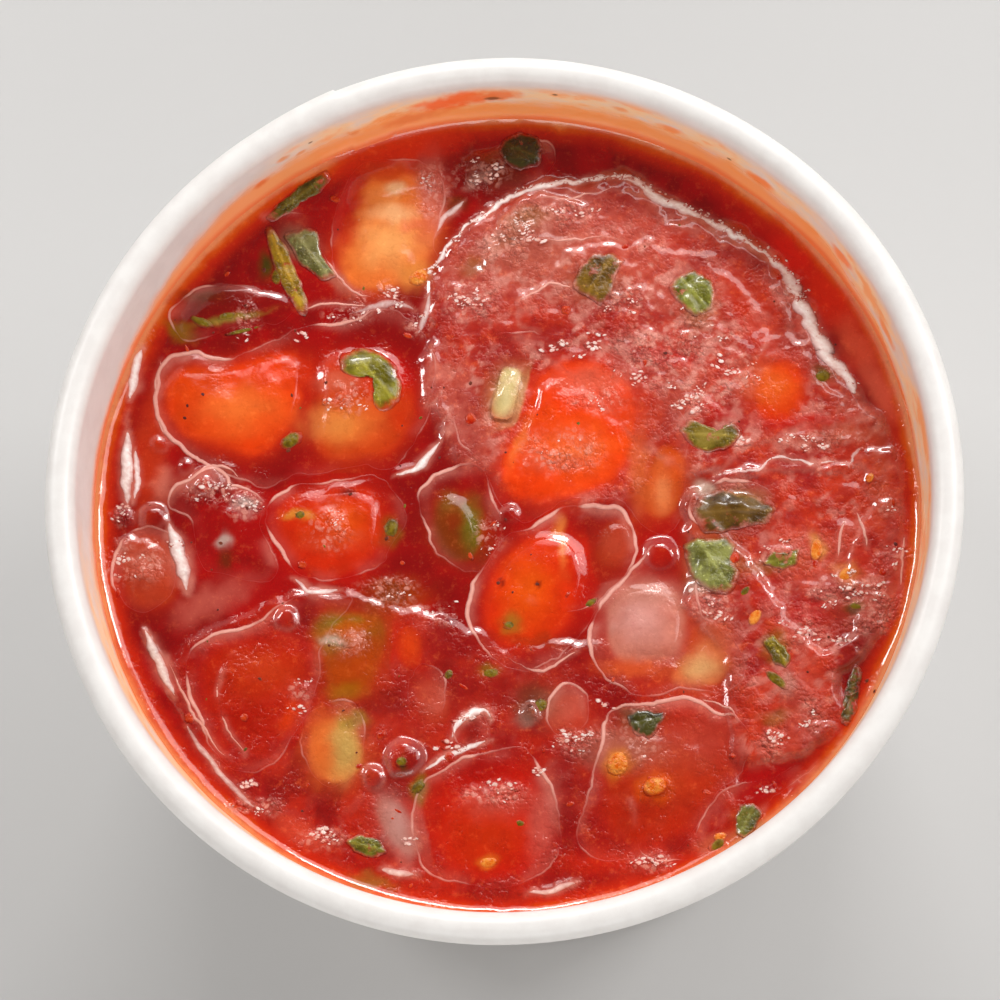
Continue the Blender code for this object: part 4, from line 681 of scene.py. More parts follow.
# Bits and tints in the sauce, some of them painted light as noted: place, reach each way, turn, colour as seen, and
# strength
TINTS = (
    # The pale pink patch at (-29.1, 2.4), in the flat sauce by the left wall, is a painted reflection
    (-25.7, -8.5, 2.5, 1.3, 30, (198, 96, 86), 0.75), (-29.1, 2.4, 0.9, 1.7, 0, (228, 130, 112), 0.75),
    (-23.2, -7.4, 2.2, 1.3, 35, (196, 92, 84), 0.6),
    (-25, 18.4, 3.7, 1.9, 10, (120, 38, 20), 0.6),
    (-23.9, 16.9, 3, 0.35, 12, (150, 140, 64), 0.75),
    (-26.4, 18.9, 1.8, 0.7, 0, (80, 64, 30), 0.5),
    (-28.2, 15.9, 1.4, 0.79, -30, (150, 112, 40), 0.75),
    (-20.9, 21.8, 0.67, 1.3, 0, (60, 78, 34), 0.85),
    (-18, 24, 2, 1.4, -50, (150, 128, 104), 0.6),
    (-15.2, 20.8, 2.4, 0.61, -42, (182, 122, 106), 0.6),
    (-8, 32.9, 4.6, 1.8, 8, (240, 62, 26), 0.9),
    (-13.4, 31.4, 2.6, 1.4, 30, (232, 62, 28), 0.7),
    # The pink patch at (-6.6, 28.6) is pulp with painted sheen over it, and the pale spot at (-9.8, 26.3) a painted
    # highlight on a small pale lump of the far tomato
    (-6.6, 28.6, 1.3, 2.9, 0, (222, 122, 112), 0.75), (-10.6, 28, 1.6, 1.5, 0, (252, 156, 84), 0.5),
    (-9.8, 26.3, 2, 0.8, 0, (254, 200, 146), 0.6), (-8.4, 25.3, 0.9, 0.5, 20, (238, 110, 84), 0.5),
    (-1.6, -16, 2.6, 1.2, 5, (146, 28, 12), 0.5), (-3.2, -9, 1.6, 1, 0, (160, 26, 10), 0.5),
    (13.7, 12.9, 2.9, 0.7, -6, (196, 26, 10), 0.8), (22.2, -8.4, 1.5, 1.3, 0, (180, 28, 10), 0.75),
    (30.6, -5, 2, 1.8, 0, (206, 46, 22), 0.6), (25.2, -9.4, 1.8, 0.9, 10, (196, 36, 16), 0.6),
    (25.4, 7.2, 4.4, 0.7, 4, (204, 40, 18), 0.6), (17.8, 8.2, 2, 0.6, -10, (196, 36, 16), 0.6),
    (-30.3, 5, 1.5, 6, -3, (222, 78, 50), 0.5), (8, -30.4, 3.2, 1.1, 0, (222, 54, 28), 0.6),
    (-2.8, -11.7, 2.4, 1.3, 10, (150, 20, 6), 0.7), (-16.7, -27.7, 2.4, 1, -30, (232, 96, 74), 0.5),
    (21, 17.6, 1.8, 4.2, 35, (206, 58, 38), 0.6), (2.4, 22.6, 3.8, 2.4, 15, (176, 104, 88), 0.4),
    (-0.8, 30.2, 2.9, 1.9, 0, (88, 46, 24), 0.65),
    (-2.5, 29.5, 1.3, 0.5, 30, (196, 150, 136), 0.5),
    (-4.4, 27.3, 1, 0.7, 0, (92, 60, 40), 0.6), (1.7, 25.7, 2.2, 1.1, 10, (150, 104, 66), 0.6),
    (-0.1, 23.6, 1.8, 0.88, 15, (166, 116, 86), 0.4),
    (-2.9, 21.4, 1.3, 0.88, 20, (140, 94, 52), 0.55),
    (7.4, 19.7, 2.5, 1.9, 0, (124, 84, 54), 0.45),
    (16.6, 17.2, 1.3, 1.8, 0, (120, 110, 70), 0.45),
    (18.7, -0.1, 3.5, 2.1, -5, (100, 58, 40), 0.6),
    (16.7, 1.3, 0.84, 0.7, 0, (216, 196, 176), 0.6),
    (20.1, 0.4, 1.5, 0.88, 0, (160, 136, 84), 0.55),
    (21.2, -1.1, 1, 0.61, 0, (190, 170, 130), 0.4),
    (17.4, -5, 2.4, 2.5, 0, (110, 104, 56), 0.6),
    (16.3, -7.2, 1.2, 0.7, 20, (190, 180, 160), 0.4),
    (22.5, -12.3, 1, 1.4, 0, (124, 112, 44), 0.6),
    (23.5, -15.4, 0.92, 1.3, 0, (194, 146, 132), 0.55),
    (22.5, -18.3, 1.3, 0.7, 10, (112, 92, 34), 0.5),
    (2.9, -16.9, 1.8, 1.8, 0, (96, 70, 56), 0.65),
    (1.7, -18.2, 0.84, 0.79, 0, (150, 130, 116), 0.45),
    (-1.3, -14.3, 0.92, 0.53, 0, (132, 112, 44), 0.6),
    (-9.8, -2, 0.84, 1.3, 0, (74, 96, 40), 0.8), (-9.1, -7.6, 2.7, 1.6, 0, (146, 84, 44), 0.5),
    (-21.9, 0.2, 1.1, 0.7, 0, (190, 180, 170), 0.65),
    (-23.8, -2.7, 0.59, 0.7, 0, (202, 192, 180), 0.65),
    (-23.6, -4.4, 0.67, 0.96, 0, (60, 58, 30), 0.55),
    (-26.7, 2.3, 1.8, 1.1, 0, (204, 100, 88), 0.5),
    (-17.8, -18, 0.67, 1.4, -15, (232, 70, 36), 0.65),
    (-20.2, -13.7, 2.2, 1.1, -20, (206, 72, 50), 0.5),
    (-10.7, -31.9, 1.8, 0.61, -10, (120, 124, 60), 0.5),
    (-6.9, -24.1, 0.76, 1.1, 0, (124, 120, 50), 0.8),
    (-8.4, -22.1, 0.5, 0.61, 0, (60, 70, 36), 0.8),
    (-8.8, -27.6, 1, 3, 20, (196, 150, 140), 0.5),
    (17.9, -28.5, 2.2, 0.79, 22, (204, 120, 92), 0.5),
    (20.1, -27.5, 1.4, 1.7, 0, (96, 104, 60), 0.4),
    (26.9, 11.3, 0.92, 0.79, 0, (90, 96, 56), 0.7),
    (26.1, -3.8, 0.59, 1.1, 10, (230, 154, 84), 0.8),
    (28.8, -6.1, 1.2, 0.88, -20, (226, 128, 70), 0.8),
    (29.3, -9, 0.84, 0.53, 0, (110, 100, 40), 0.6),
    (22.2, -5.2, 2.5, 0.7, 5, (110, 116, 50), 0.3),
    (11.3, -18.3, 1.8, 0.88, 0, (62, 66, 30), 0.7),
    (9.8, -20.8, 3.5, 1.9, 0, (172, 116, 100), 0.55),
    (16.2, -20.3, 3, 2.3, 0, (196, 84, 74), 0.45),
    (9.4, -22.2, 1.1, 1.1, 0, (240, 142, 56), 0.9),
    (12.5, -24.1, 1.3, 1.1, 0, (236, 100, 36), 0.9),
    (3.5, -26.3, 1.2, 3.9, -8, (206, 112, 102), 0.5),
    (-1.9, -22.1, 3.9, 1.6, 12, (158, 34, 18), 0.55),
    (-0.2, -25.3, 2.9, 1.4, 0, (214, 110, 96), 0.35),
    (-1.3, -30.2, 0.76, 0.53, 0, (244, 140, 60), 0.8),
    (16.3, -13.9, 1.4, 1.2, 0, (236, 194, 124), 0.5),
    (10.8, -14, 2.9, 0.79, -5, (230, 96, 54), 0.65),
    (15.5, -10.7, 0.67, 3.2, 0, (206, 66, 36), 0.5),
    (12.2, -7.5, 2.2, 1.2, 0, (206, 140, 126), 0.5),
    (17.3, -11.9, 1.5, 2.1, 0, (210, 106, 74), 0.45),
    (4.8, -3.2, 0.5, 2.3, 8, (246, 146, 76), 0.7),
    (6.7, -7.7, 1.2, 3.9, 10, (186, 34, 14), 0.5),
    (0.6, -10.1, 0.92, 0.79, 0, (152, 122, 54), 0.7),
    (3.4, -11.8, 3.7, 0.61, -8, (140, 60, 30), 0.4),
    (-0.5, -6.6, 0.29, 0.31, 0, (90, 26, 14), 0.8), (2.8, -7, 0.29, 0.31, 0, (90, 30, 18), 0.8),
    (-17.4, -0.7, 1.3, 0.39, -10, (222, 146, 66), 0.8),
    (-13.1, 1.2, 0.67, 0.31, -20, (96, 34, 22), 0.8),
    (-10, -1.3, 0.84, 2.8, 0, (196, 44, 24), 0.5),
    (-14.3, -3.1, 2.5, 1.1, 0, (226, 96, 66), 0.4),
    (7.2, 10.9, 3.4, 1.1, 0, (226, 124, 104), 0.45),
    (11.4, 8.2, 2.2, 1.8, 0, (216, 78, 56), 0.4),
    (1.3, 5.6, 0.5, 2.5, -20, (252, 136, 76), 0.5),
    (5.9, 4.7, 2.5, 0.53, 10, (252, 120, 70), 0.4),
    (11.4, 2.9, 0.84, 3.5, 0, (230, 120, 70), 0.45),
    (-14.3, 11.1, 1.8, 1.1, 0, (226, 132, 104), 0.4),
    (-15.8, 7.5, 2.2, 1.4, 0, (240, 150, 84), 0.4),
    (-17.2, 9.3, 0.5, 4.4, 4, (176, 30, 14), 0.5),
    (-23.2, 9.2, 2.9, 1.4, 10, (246, 124, 66), 0.5),
    (-26.5, 11.2, 2.5, 1.8, 0, (236, 86, 38), 0.3),
    (-14, 26.3, 1.1, 4.6, -8, (206, 42, 14), 0.8),
    (-10.1, 30.3, 2.9, 0.88, 0, (216, 64, 32), 0.7),
    # The pale spot at (-9.9, 28.6) is a painted highlight on the far tomato's top
    (-9.9, 28.6, 0.84, 0.79, 0, (252, 204, 154), 0.8),
    (-7.8, 20.8, 1.3, 1.2, 0, (240, 146, 76), 0.9),
    (-6.6, 27.3, 1.2, 4.4, -6, (206, 92, 76), 0.6),
    (-11.5, 20.5, 2.5, 0.79, 0, (244, 120, 64), 0.5),
    (-14.5, -11, 1.2, 1.9, 0, (120, 118, 48), 0.7),
    (-14.3, -11.7, 1, 0.53, 0, (196, 190, 176), 0.6),
    (-13.2, -16, 1.5, 0.7, 0, (160, 110, 40), 0.6),
    (-10.8, -10, 1.2, 1.8, 0, (150, 70, 34), 0.5),
    (-13, -10.7, 2.2, 0.7, 10, (216, 78, 38), 0.6),
    (-13.2, -20.6, 1, 2.8, 0, (204, 168, 96), 0.6),
    (-15.3, -20.6, 0.84, 3, 0, (232, 112, 60), 0.6),
    (-12.5, -18.5, 1.2, 0.7, 0, (150, 140, 60), 0.5),
    (-8.2, -11.7, 1.2, 1.2, 0, (206, 56, 30), 0.5),
    (-6.1, -16, 1.5, 1.4, 0, (196, 90, 78), 0.4),
    (-2.9, -1.4, 0.84, 2.1, 0, (110, 110, 50), 0.6),
    (-4.9, 0.4, 1, 0.88, 0, (150, 104, 54), 0.5),
    (-30.5, -4.7, 1.8, 1.4, 0, (214, 120, 104), 0.45),
    (4.7, -17.3, 1.8, 1.8, 0, (204, 100, 86), 0.4),
    (21.6, 10.7, 1.7, 1.9, 0, (240, 120, 66), 0.3), (15.6, 2.8, 1, 1.8, 0, (200, 90, 70), 0.4),
    (31.5, 2.7, 1.2, 4.4, 0, (206, 92, 64), 0.4),
    (29.1, 6.3, 2.5, 0.88, 0, (206, 110, 84), 0.4),
    (24.9, 5.4, 3.4, 0.7, 0, (206, 110, 90), 0.3),
    # By the far right wall the sauce is painted lighter to make up for the wall's shade, and the pink patches at (29.8,
    # 14.2) and (31.6, 10) are painted highlights
    (20.6, 25.4, 2.4, 1, -38, (208, 40, 14), 0.7), (24.4, 22, 3, 1.4, -46, (238, 46, 14), 0.85),
    (27.4, 18.2, 3, 1.4, -54, (240, 56, 22), 0.85), (29.8, 14.2, 2.6, 1.2, -62, (246, 98, 72), 0.8),
    (31.6, 10, 2.8, 1.1, -68, (246, 108, 84), 0.75),
)

half_count = int(round(36 * MM / GRID_STEP))
axis = np.arange(-half_count, half_count + 1) * GRID_STEP
grid_x, grid_y = np.meshgrid(axis, axis, indexing="ij")
grid_r = np.hypot(grid_x, grid_y)


def blur(field, rounds):
    """Softens a field by repeated averaging with its neighbours."""
    for _ in range(rounds):
        field = (field + np.roll(field, 1, 0) + np.roll(field, -1, 0)) / 3
        field = (field + np.roll(field, 1, 1) + np.roll(field, -1, 1)) / 3
    return field


def spread(field, known, rounds):
    """Carries the known values of a field outward, a cell a round."""
    field = field * known[..., None]
    known = known.astype(float)
    for _ in range(rounds):
        weight = blur(known, 1)
        around = np.stack([blur(field[..., k], 1) for k in range(field.shape[-1])], axis=-1)
        fresh = (known == 0) & (weight > 1e-6)
        field[fresh] = around[fresh] / weight[fresh][:, None]
        known[fresh] = 1.0
    return field


def along_line(x, y, line):
    """Distance in millimetres to a line of straight pieces, and how far along it that is."""
    nearest = np.full(x.shape, 1e9)
    share = np.zeros(x.shape)
    passed = 0.0
    for (x0, y0), (x1, y1) in zip(line, line[1:]):
        run, climb = x1 - x0, y1 - y0
        length = math.hypot(run, climb)
        along = np.clip(((x - x0) * run + (y - y0) * climb) / length ** 2, 0, 1)
        away = np.hypot(x - x0 - along * run, y - y0 - along * climb)
        share = np.where(away < nearest, passed + along * length, share)
        nearest = np.minimum(nearest, away)
        passed += length
    return nearest, share / passed


def line_distance(x, y, line):
    return along_line(x, y, line)[0]


def left_of(x, y, line):
    """Whether places lie to the left of a line, walking along it."""
    side = np.zeros(x.shape)
    nearest = np.full(x.shape, 1e9)
    for (x0, y0), (x1, y1) in zip(line, line[1:]):
        away = line_distance(x, y, ((x0, y0), (x1, y1)))
        closer = away < nearest
        cross = (x1 - x0) * (y - y0) - (y1 - y0) * (x - x0)
        side = np.where(closer, cross, side)
        nearest = np.minimum(nearest, away)
    return side > 0


def inside_distance(x, y, shore):
    """Distance to a closed outline, positive inside it."""
    inside = np.zeros(x.shape, dtype=bool)
    for (x0, y0), (x1, y1) in zip(shore, shore[1:] + shore[:1]):
        if y0 != y1:
            inside ^= ((y0 > y) != (y1 > y)) & (x < x0 + (y - y0) * (x1 - x0) / (y1 - y0))
    nearest = line_distance(x, y, shore + shore[:1])
    return np.where(inside, nearest, -nearest)


def crinkled(amount, cell, seed, at_x=grid_x, at_y=grid_y):
    """Places in millimetres, shifted a little at random to crinkle outlines."""
    x = at_x / MM + amount * lattice(at_x, at_y, cell, seed)
    y = at_y / MM + amount * lattice(at_x, at_y, cell, seed + 1)
    x += 0.4 * amount * lattice(at_x, at_y, 0.35 * cell, seed + 2)
    y += 0.4 * amount * lattice(at_x, at_y, 0.35 * cell, seed + 3)
    return x, y


def pulp_rise():
    """Height of the pulp with its folds, how dense it is, and where painted sheen lies over it."""
    x, y = crinkled(0.7, 2.2 * MM, 41)
    rise = np.zeros(grid_x.shape)
    dense = np.zeros(grid_x.shape)
    sheen_cover = np.zeros(grid_x.shape)
    for height, width, sheen, shore in PULP_MASSES:
        share = smooth_step(inside_distance(x, y, shore) / width, -0.5, 0.5)
        rise = np.maximum(rise, height * MM * share)
        dense = np.maximum(dense, share * min(1.0, 1.8 * height))
        sheen_cover = np.maximum(sheen_cover, share * sheen)
    x, y = crinkled(0.5, 1.5 * MM, 61)
    fold_highlight = np.zeros(grid_x.shape)
    for height, shore in PULP_FOLDS:
        depth = inside_distance(x, y, shore)
        rise += height * MM * smooth_step(depth, -0.25, 0.25)
        fold_highlight = np.maximum(fold_highlight, np.exp(-(depth / 0.25) ** 2))
    return rise, dense, sheen_cover, fold_highlight


def film_swell(over_dice, footprint):
    """Rounded swells of film over the pieces, as high as what stands in them, with a painted highlight along their
    edges.
    """
    x, y = crinkled(0.22, 1.6 * MM, 81)
    depths = [inside_distance(x, y, outline) for _, _, _, outline in FILM_SWELLS]
    height = np.where(footprint, over_dice * SWELL_SHARE, 0.0)
    known = footprint.copy()
    for (rise, _, _, _), depth in zip(FILM_SWELLS, depths):
        if not (footprint & (depth > 0)).any():
            height[depth > 0] = 0.8 * rise * MM
            known |= depth > 0
    height = blur(spread(height[..., None], known, 16)[..., 0], 9)
    height = height * (0.78 + 0.22 * blur(known.astype(float), 14))
    wander = smooth_step(lattice(grid_x, grid_y, 4.5 * MM, 86), -0.3, 0.6)
    swell = np.zeros(grid_x.shape)
    outline = np.zeros(grid_x.shape)
    for (_, edge, clear, _), depth in zip(FILM_SWELLS, depths):
        lip_height = np.minimum(FILM_LIP, 0.5 * height) * (1 - 0.7 * wander)
        lip = lip_height * smooth_step(depth / LIP_WIDTH)
        crown = (height - lip_height) * smooth_step(depth / (3.4 * edge))
        swell = np.maximum(swell, np.where(depth > 0, lip + crown, 0.0))
        # The pale band along each outline is a painted highlight, stronger where the edge faces the far lights
        facing_far = smooth_step(-np.gradient(blur(depth, 2), axis=1) * MM / GRID_STEP, -0.5, 0.3)
        band = np.where(depth > -0.1, np.exp(-((depth - 0.1) / 0.6) ** 2), 0.0)
        outline = np.maximum(outline, clear * band * (1 - 0.7 * wander) * (0.3 + 0.7 * facing_far))
    return swell, outline


def ridges_and_drops():
    x, y = crinkled(0.2, 1.3 * MM, 71)
    extra = np.zeros(grid_x.shape)
    mark = np.zeros(grid_x.shape)
    for height, width, line in FILM_RIDGES:
        away = line_distance(x, y, line)
        gentle = np.clip(1 - away / width, 0, 1)
        steep = np.clip(1 - away / (0.35 * width), 0, 1)
        extra = np.maximum(extra, height * MM * np.where(left_of(x, y, line), gentle, steep))
        # A pale mark along each ridge and round each drop's rim: a painted highlight
        mark = np.maximum(mark, np.exp(-(away / 0.24) ** 2))
    extra = blur(extra, 1)
    for drop_x, drop_y, radius in DROPS:
        away = np.hypot(x - drop_x, y - drop_y) / radius
        extra += 0.42 * radius * MM * np.sqrt(np.clip(1 - away ** 2, 0, 1))
        mark = np.maximum(mark, 0.5 * np.exp(-((away - 0.95) * radius / 0.18) ** 2))
    return extra, mark


def spot_field():
    """Where shreds of flesh break the surface, from 0 to 1."""
    rough = np.zeros(grid_x.shape)
    for x, y, reach_x, reach_y in ROUGH_SPOTS:
        away = ((grid_x / MM - x) / reach_x) ** 2 + ((grid_y / MM - y) / reach_y) ** 2
        rough = np.maximum(rough, np.exp(-1.2 * away ** 2))
    broken = 0.5 + 0.5 * lattice(grid_x, grid_y, 1.3 * MM, 95)
    return rough * smooth_step(broken + 0.4 * rough, 0.3, 0.75)


def dice_heights():
    """Top of the dice over the grid, the tone there, and the share of sauce over it."""
    height = np.full(grid_x.shape, -1.0)
    tone = np.zeros(grid_x.shape + (3,))
    sauced = np.zeros(grid_x.shape)
    for name, (shape, places, tones) in dice_shapes.items():
        faces = [tuple(face.vertices) for face in shape.polygons]
        tree = BVHTree.FromPolygons([Vector(place) for place in places], faces)
        low, high = places.min(axis=0), places.max(axis=0)
        columns = np.where((axis > low[0]) & (axis < high[0]))[0]
        rows = np.where((axis > low[1]) & (axis < high[1]))[0]
        for i in columns:
            for j in rows:
                hit, _, face, _ = tree.ray_cast(Vector((axis[i], axis[j], 0.06)), Vector((0, 0, -1)))
                if hit is not None and hit.z > height[i, j]:
                    height[i, j] = hit.z
                    tone[i, j] = tones[list(faces[face])].mean(axis=0)
                    sauced[i, j] = DICE[name][4]
    return height, tone, sauced


def settle(obstacle, pinned, pinned_height, reach, rounds):
    """Lets a film sag to the level between all that it lies on, as a liquid does."""
    pull = (reach / GRID_STEP) ** 2
    film = np.maximum(obstacle, 0.0)
    for _ in range(rounds):
        around = np.roll(film, 1, 0) + np.roll(film, -1, 0) + np.roll(film, 1, 1) + np.roll(film, -1, 1)
        film = np.maximum(obstacle, pull * around / (1 + 4 * pull))
        film[pinned] = pinned_height
    return film


contact_radius = wall_radius(LEVEL + CLIMB)
at_wall = grid_r > contact_radius
to_wall = (contact_radius - grid_r) / MM
fade = smooth_step(to_wall, 0.3, 1.8)
rise, dense, sheen_cover, fold_highlight = pulp_rise()
dice_top, dice_tone, dice_sauced = dice_heights()
footprint = dice_top > LEVEL
swell, outline_highlight = film_swell(dice_top - LEVEL, footprint)
extra, ridge_highlight = ridges_and_drops()
rough_spots = spot_field()
lumps = 0.1 * lattice(grid_x, grid_y, 2.6 * MM, 51) + 0.07 * lattice(grid_x, grid_y, 1.1 * MM, 52)
shreds = np.abs(lattice(grid_x + 0.6 * grid_y, grid_y - 0.4 * grid_x, 0.8 * MM, 53))
shreds += 0.6 * np.abs(lattice(grid_x - 0.3 * grid_y, grid_y + 0.5 * grid_x, 0.5 * MM, 56))
shreds = 0.32 * rough_spots * (0.7 - shreds)
grain = 0.07 * lattice(grid_x, grid_y, 0.5 * MM, 54) * (0.25 + 0.75 * dense)
ground = np.maximum(rise, swell) + extra
ground = (ground + (lumps * (0.25 + 0.75 * dense) + shreds + grain) * MM) * fade
reach = FILM_REACH + (MOAT_REACH - FILM_REACH) * smooth_step(-to_wall, -2.6, -0.8)
film = settle(ground, at_wall, CLIMB, reach, 140)
film_height = LEVEL + blur(film, 1)
inner_print = blur(footprint.astype(float), 20)
share_sharp = smooth_step(blur(footprint.astype(float), 9), 0.25, 0.85)
share_soft = smooth_step(blur(footprint.astype(float), 26), 0.25, 0.85)
softness = smooth_step(lattice(grid_x, grid_y, 3.1 * MM, 97), -0.5, 0.5)
beneath = spread(np.dstack([dice_tone, dice_sauced]), footprint, 34)
halo = smooth_step(blur(footprint.astype(float), 130), 0.02, 0.6) * (1 - 0.7 * beneath[..., 3])
flesh_share = (share_sharp * (1 - softness) + share_soft * softness) * (1 - beneath[..., 3])
beneath_tone = beneath[..., :3]
soft_dense, soft_film, soft_spots = blur(dense, 4), blur(film, 3), blur(rough_spots, 1)
clear_band = np.exp(-(line_distance(grid_x / MM, grid_y / MM, CLEAR_BAND[1]) / CLEAR_BAND[0]) ** 2)
soft_sheen = blur(sheen_cover * (1 - 0.8 * clear_band), 6)
# Pale lines along the swells' edges, the ridges, the drops and the pulp's folds: the film's pale edge, partly painted
# highlight
broken = smooth_step(lattice(grid_x, grid_y, 1.9 * MM, 98), -0.7, 0.3)
pale_edges_and_highlights = np.maximum(0.5 * outline_highlight, np.maximum(0.35 * ridge_highlight, 0.3 * fold_highlight)) * broken
# Where the white streaks lie, their painted highlight spread soft over the sauce
crinkled_x, crinkled_y = crinkled(0.3, 1.2 * MM, 64)
froth_highlight = np.zeros(grid_x.shape)
for half_width, strength, line in HIGHLIGHT_STREAKS:
    away, share = along_line(crinkled_x, crinkled_y, line)
    width = 1.15 * half_width * np.sqrt(np.sin(math.pi * np.clip(share, 0.04, 0.96)))
    froth_highlight = np.maximum(froth_highlight, strength * np.exp(-(away / (1.3 * width)) ** 2))
froth_highlight *= 0.25 + 0.75 * smooth_step(lattice(grid_x, grid_y, 1.4 * MM, 99), -1.1, 0.0)
soft_spots = np.maximum(soft_spots, 0.6 * froth_highlight * dense)


def over_grid(field, x, y):
    """Reads a field of the grid at any places."""
    u = np.clip((x - axis[0]) / GRID_STEP, 0, len(axis) - 1.001)
    v = np.clip((y - axis[0]) / GRID_STEP, 0, len(axis) - 1.001)
    i, j = u.astype(int), v.astype(int)
    a, b = u - i, v - j
    if field.ndim == 3:
        a, b = a[:, None], b[:, None]
    near = field[i, j] * (1 - b) + field[i, j + 1] * b
    far = field[i + 1, j] * (1 - b) + field[i + 1, j + 1] * b
    return near * (1 - a) + far * a


def surface_tone(x, y):
    """Colour at any place of the wet surface: sauce, pulp, flesh under the film, bits, and the painted sheen and
    highlights.
    """
    cloud = 0.6 * lattice(x, y, 4.2 * MM, 21) + 0.4 * lattice(x, y, 1.7 * MM, 22)
    fine = 0.6 * lattice(x, y, 0.9 * MM, 24) + 0.4 * lattice(x, y, 0.45 * MM, 25)
    raised = smooth_step(over_grid(soft_film, x, y) / MM, 0.2, 1.0)
    flesh = over_grid(flesh_share, x, y)
    pulp = over_grid(soft_dense, x, y)
    clear = blend(seen(142, 22, 8), seen(176, 34, 14), smooth_step(cloud, -0.6, 0.5))
    thick = blend(seen(166, 28, 12), seen(208, 58, 34), smooth_step(cloud + 0.6 * fine, -0.7, 0.7))
    sheen_here = over_grid(soft_sheen, x, y)
    tones = blend(clear, thick, np.maximum(pulp, 0.6 * raised))
    turned_x, turned_y = 0.8 * x + 0.6 * y, 0.8 * y - 0.6 * x
    crumb = 0.55 * lattice(0.55 * turned_x, turned_y, 0.8 * MM, 37)
    crumb += 0.45 * lattice(turned_x, turned_y, 0.42 * MM, 38)
    sheen = smooth_step(lattice(x, y, 5 * MM, 39) + 0.5 * cloud, -0.25, 0.35)
    gathered = 0.3 + 0.7 * smooth_step(lattice(x, y, 3.1 * MM, 35), -0.5, 0.5)
    # Painted sheen: a pale pink reflection of the wide light over the pulp, marbled with pale veins and dark gaps
    tones = blend(tones, seen(206, 108, 94), 0.5 * sheen_here * (0.15 + 0.85 * sheen))
    tones = blend(tones, seen(228, 150, 136), 0.75 * sheen_here * gathered * smooth_step(crumb, 0.05, 0.42))
    tones = blend(tones, seen(158, 30, 18), 0.45 * sheen_here * smooth_step(crumb, -0.12, -0.5))
    deep = smooth_step(lattice(x, y, 2.4 * MM, 40) + 0.4 * fine, 0.1, 0.7)
    tones = blend(tones, seen(138, 18, 8), 0.75 * deep * (1 - 0.7 * sheen_here))
    # The last millimetre before the white paper is thin, so it turns orange and pale
    from_wall = (contact_radius - np.hypot(x, y)) / MM + 0.3 * cloud + 0.15 * fine
    tones = blend(tones, seen(204, 52, 20), smooth_step(-from_wall, -2.2, -0.9))
    tones = blend(tones, seen(226, 88, 40), smooth_step(-from_wall, -1.1, -0.45))
    tones = blend(tones, seen(238, 136, 80), smooth_step(-from_wall, -0.5, -0.1))
    under = over_grid(beneath_tone, x, y)
    glow = blend(under, seen(204, 40, 16), np.full(len(x), 0.45))
    tones = blend(tones, glow, 0.75 * over_grid(halo, x, y) * (1 - 0.35 * smooth_step(cloud, 0.0, 0.7)))
    tones = blend(tones, under, flesh * (1 - 0.25 * smooth_step(fine, 0.1, 0.8)))
    # Pale pink on the rough spots: partly crushed flesh, partly painted sheen
    tones = blend(tones, seen(222, 134, 122), 0.3 * over_grid(soft_spots, x, y) * pulp)
    place_x = x / MM + 0.35 * lattice(x, y, 1.1 * MM, 31) + 0.15 * lattice(x, y, 0.45 * MM, 32)
    place_y = y / MM + 0.35 * lattice(x, y, 1.1 * MM, 33) + 0.15 * lattice(x, y, 0.45 * MM, 34)
    for tint_x, tint_y, reach_x, reach_y, turn, colour, strength in TINTS:
        turn = math.radians(turn)
        along = (place_x - tint_x) * math.cos(turn) + (place_y - tint_y) * math.sin(turn)
        across = (place_y - tint_y) * math.cos(turn) - (place_x - tint_x) * math.sin(turn)
        share = np.exp(-((along / reach_x) ** 2 + (across / reach_y) ** 2) ** 1.5)
        tones = blend(tones, seen(*colour), strength * share)
    # Painted highlights: the pale lines of the film's edges
    tones = blend(tones, seen(240, 160, 144), 0.8 * over_grid(pale_edges_and_highlights, x, y))
    # Painted highlight: a pink glow round the white streaks
    tones = blend(tones, seen(232, 150, 134), 0.7 * over_grid(froth_highlight, x, y))
    return tones, pulp * (1 - 0.75 * flesh)


def set_colours(data, label, tones):
    layer = data.attributes.new(label, "FLOAT_COLOR", "POINT")
    layer.data.foreach_set("color", np.column_stack([tones, np.ones(len(tones))]).ravel())


def set_values(data, label, values):
    layer = data.attributes.new(label, "FLOAT", "POINT")
    layer.data.foreach_set("value", np.asarray(values, dtype=float))


def colour_wet_surface(data, places):
    x, y, _ = places.T
    tones, pulp = surface_tone(x, y)
    set_colours(data, "tone", tones)
    set_values(data, "pulp", pulp)
    set_values(data, "rough_spot", over_grid(soft_spots, x, y))


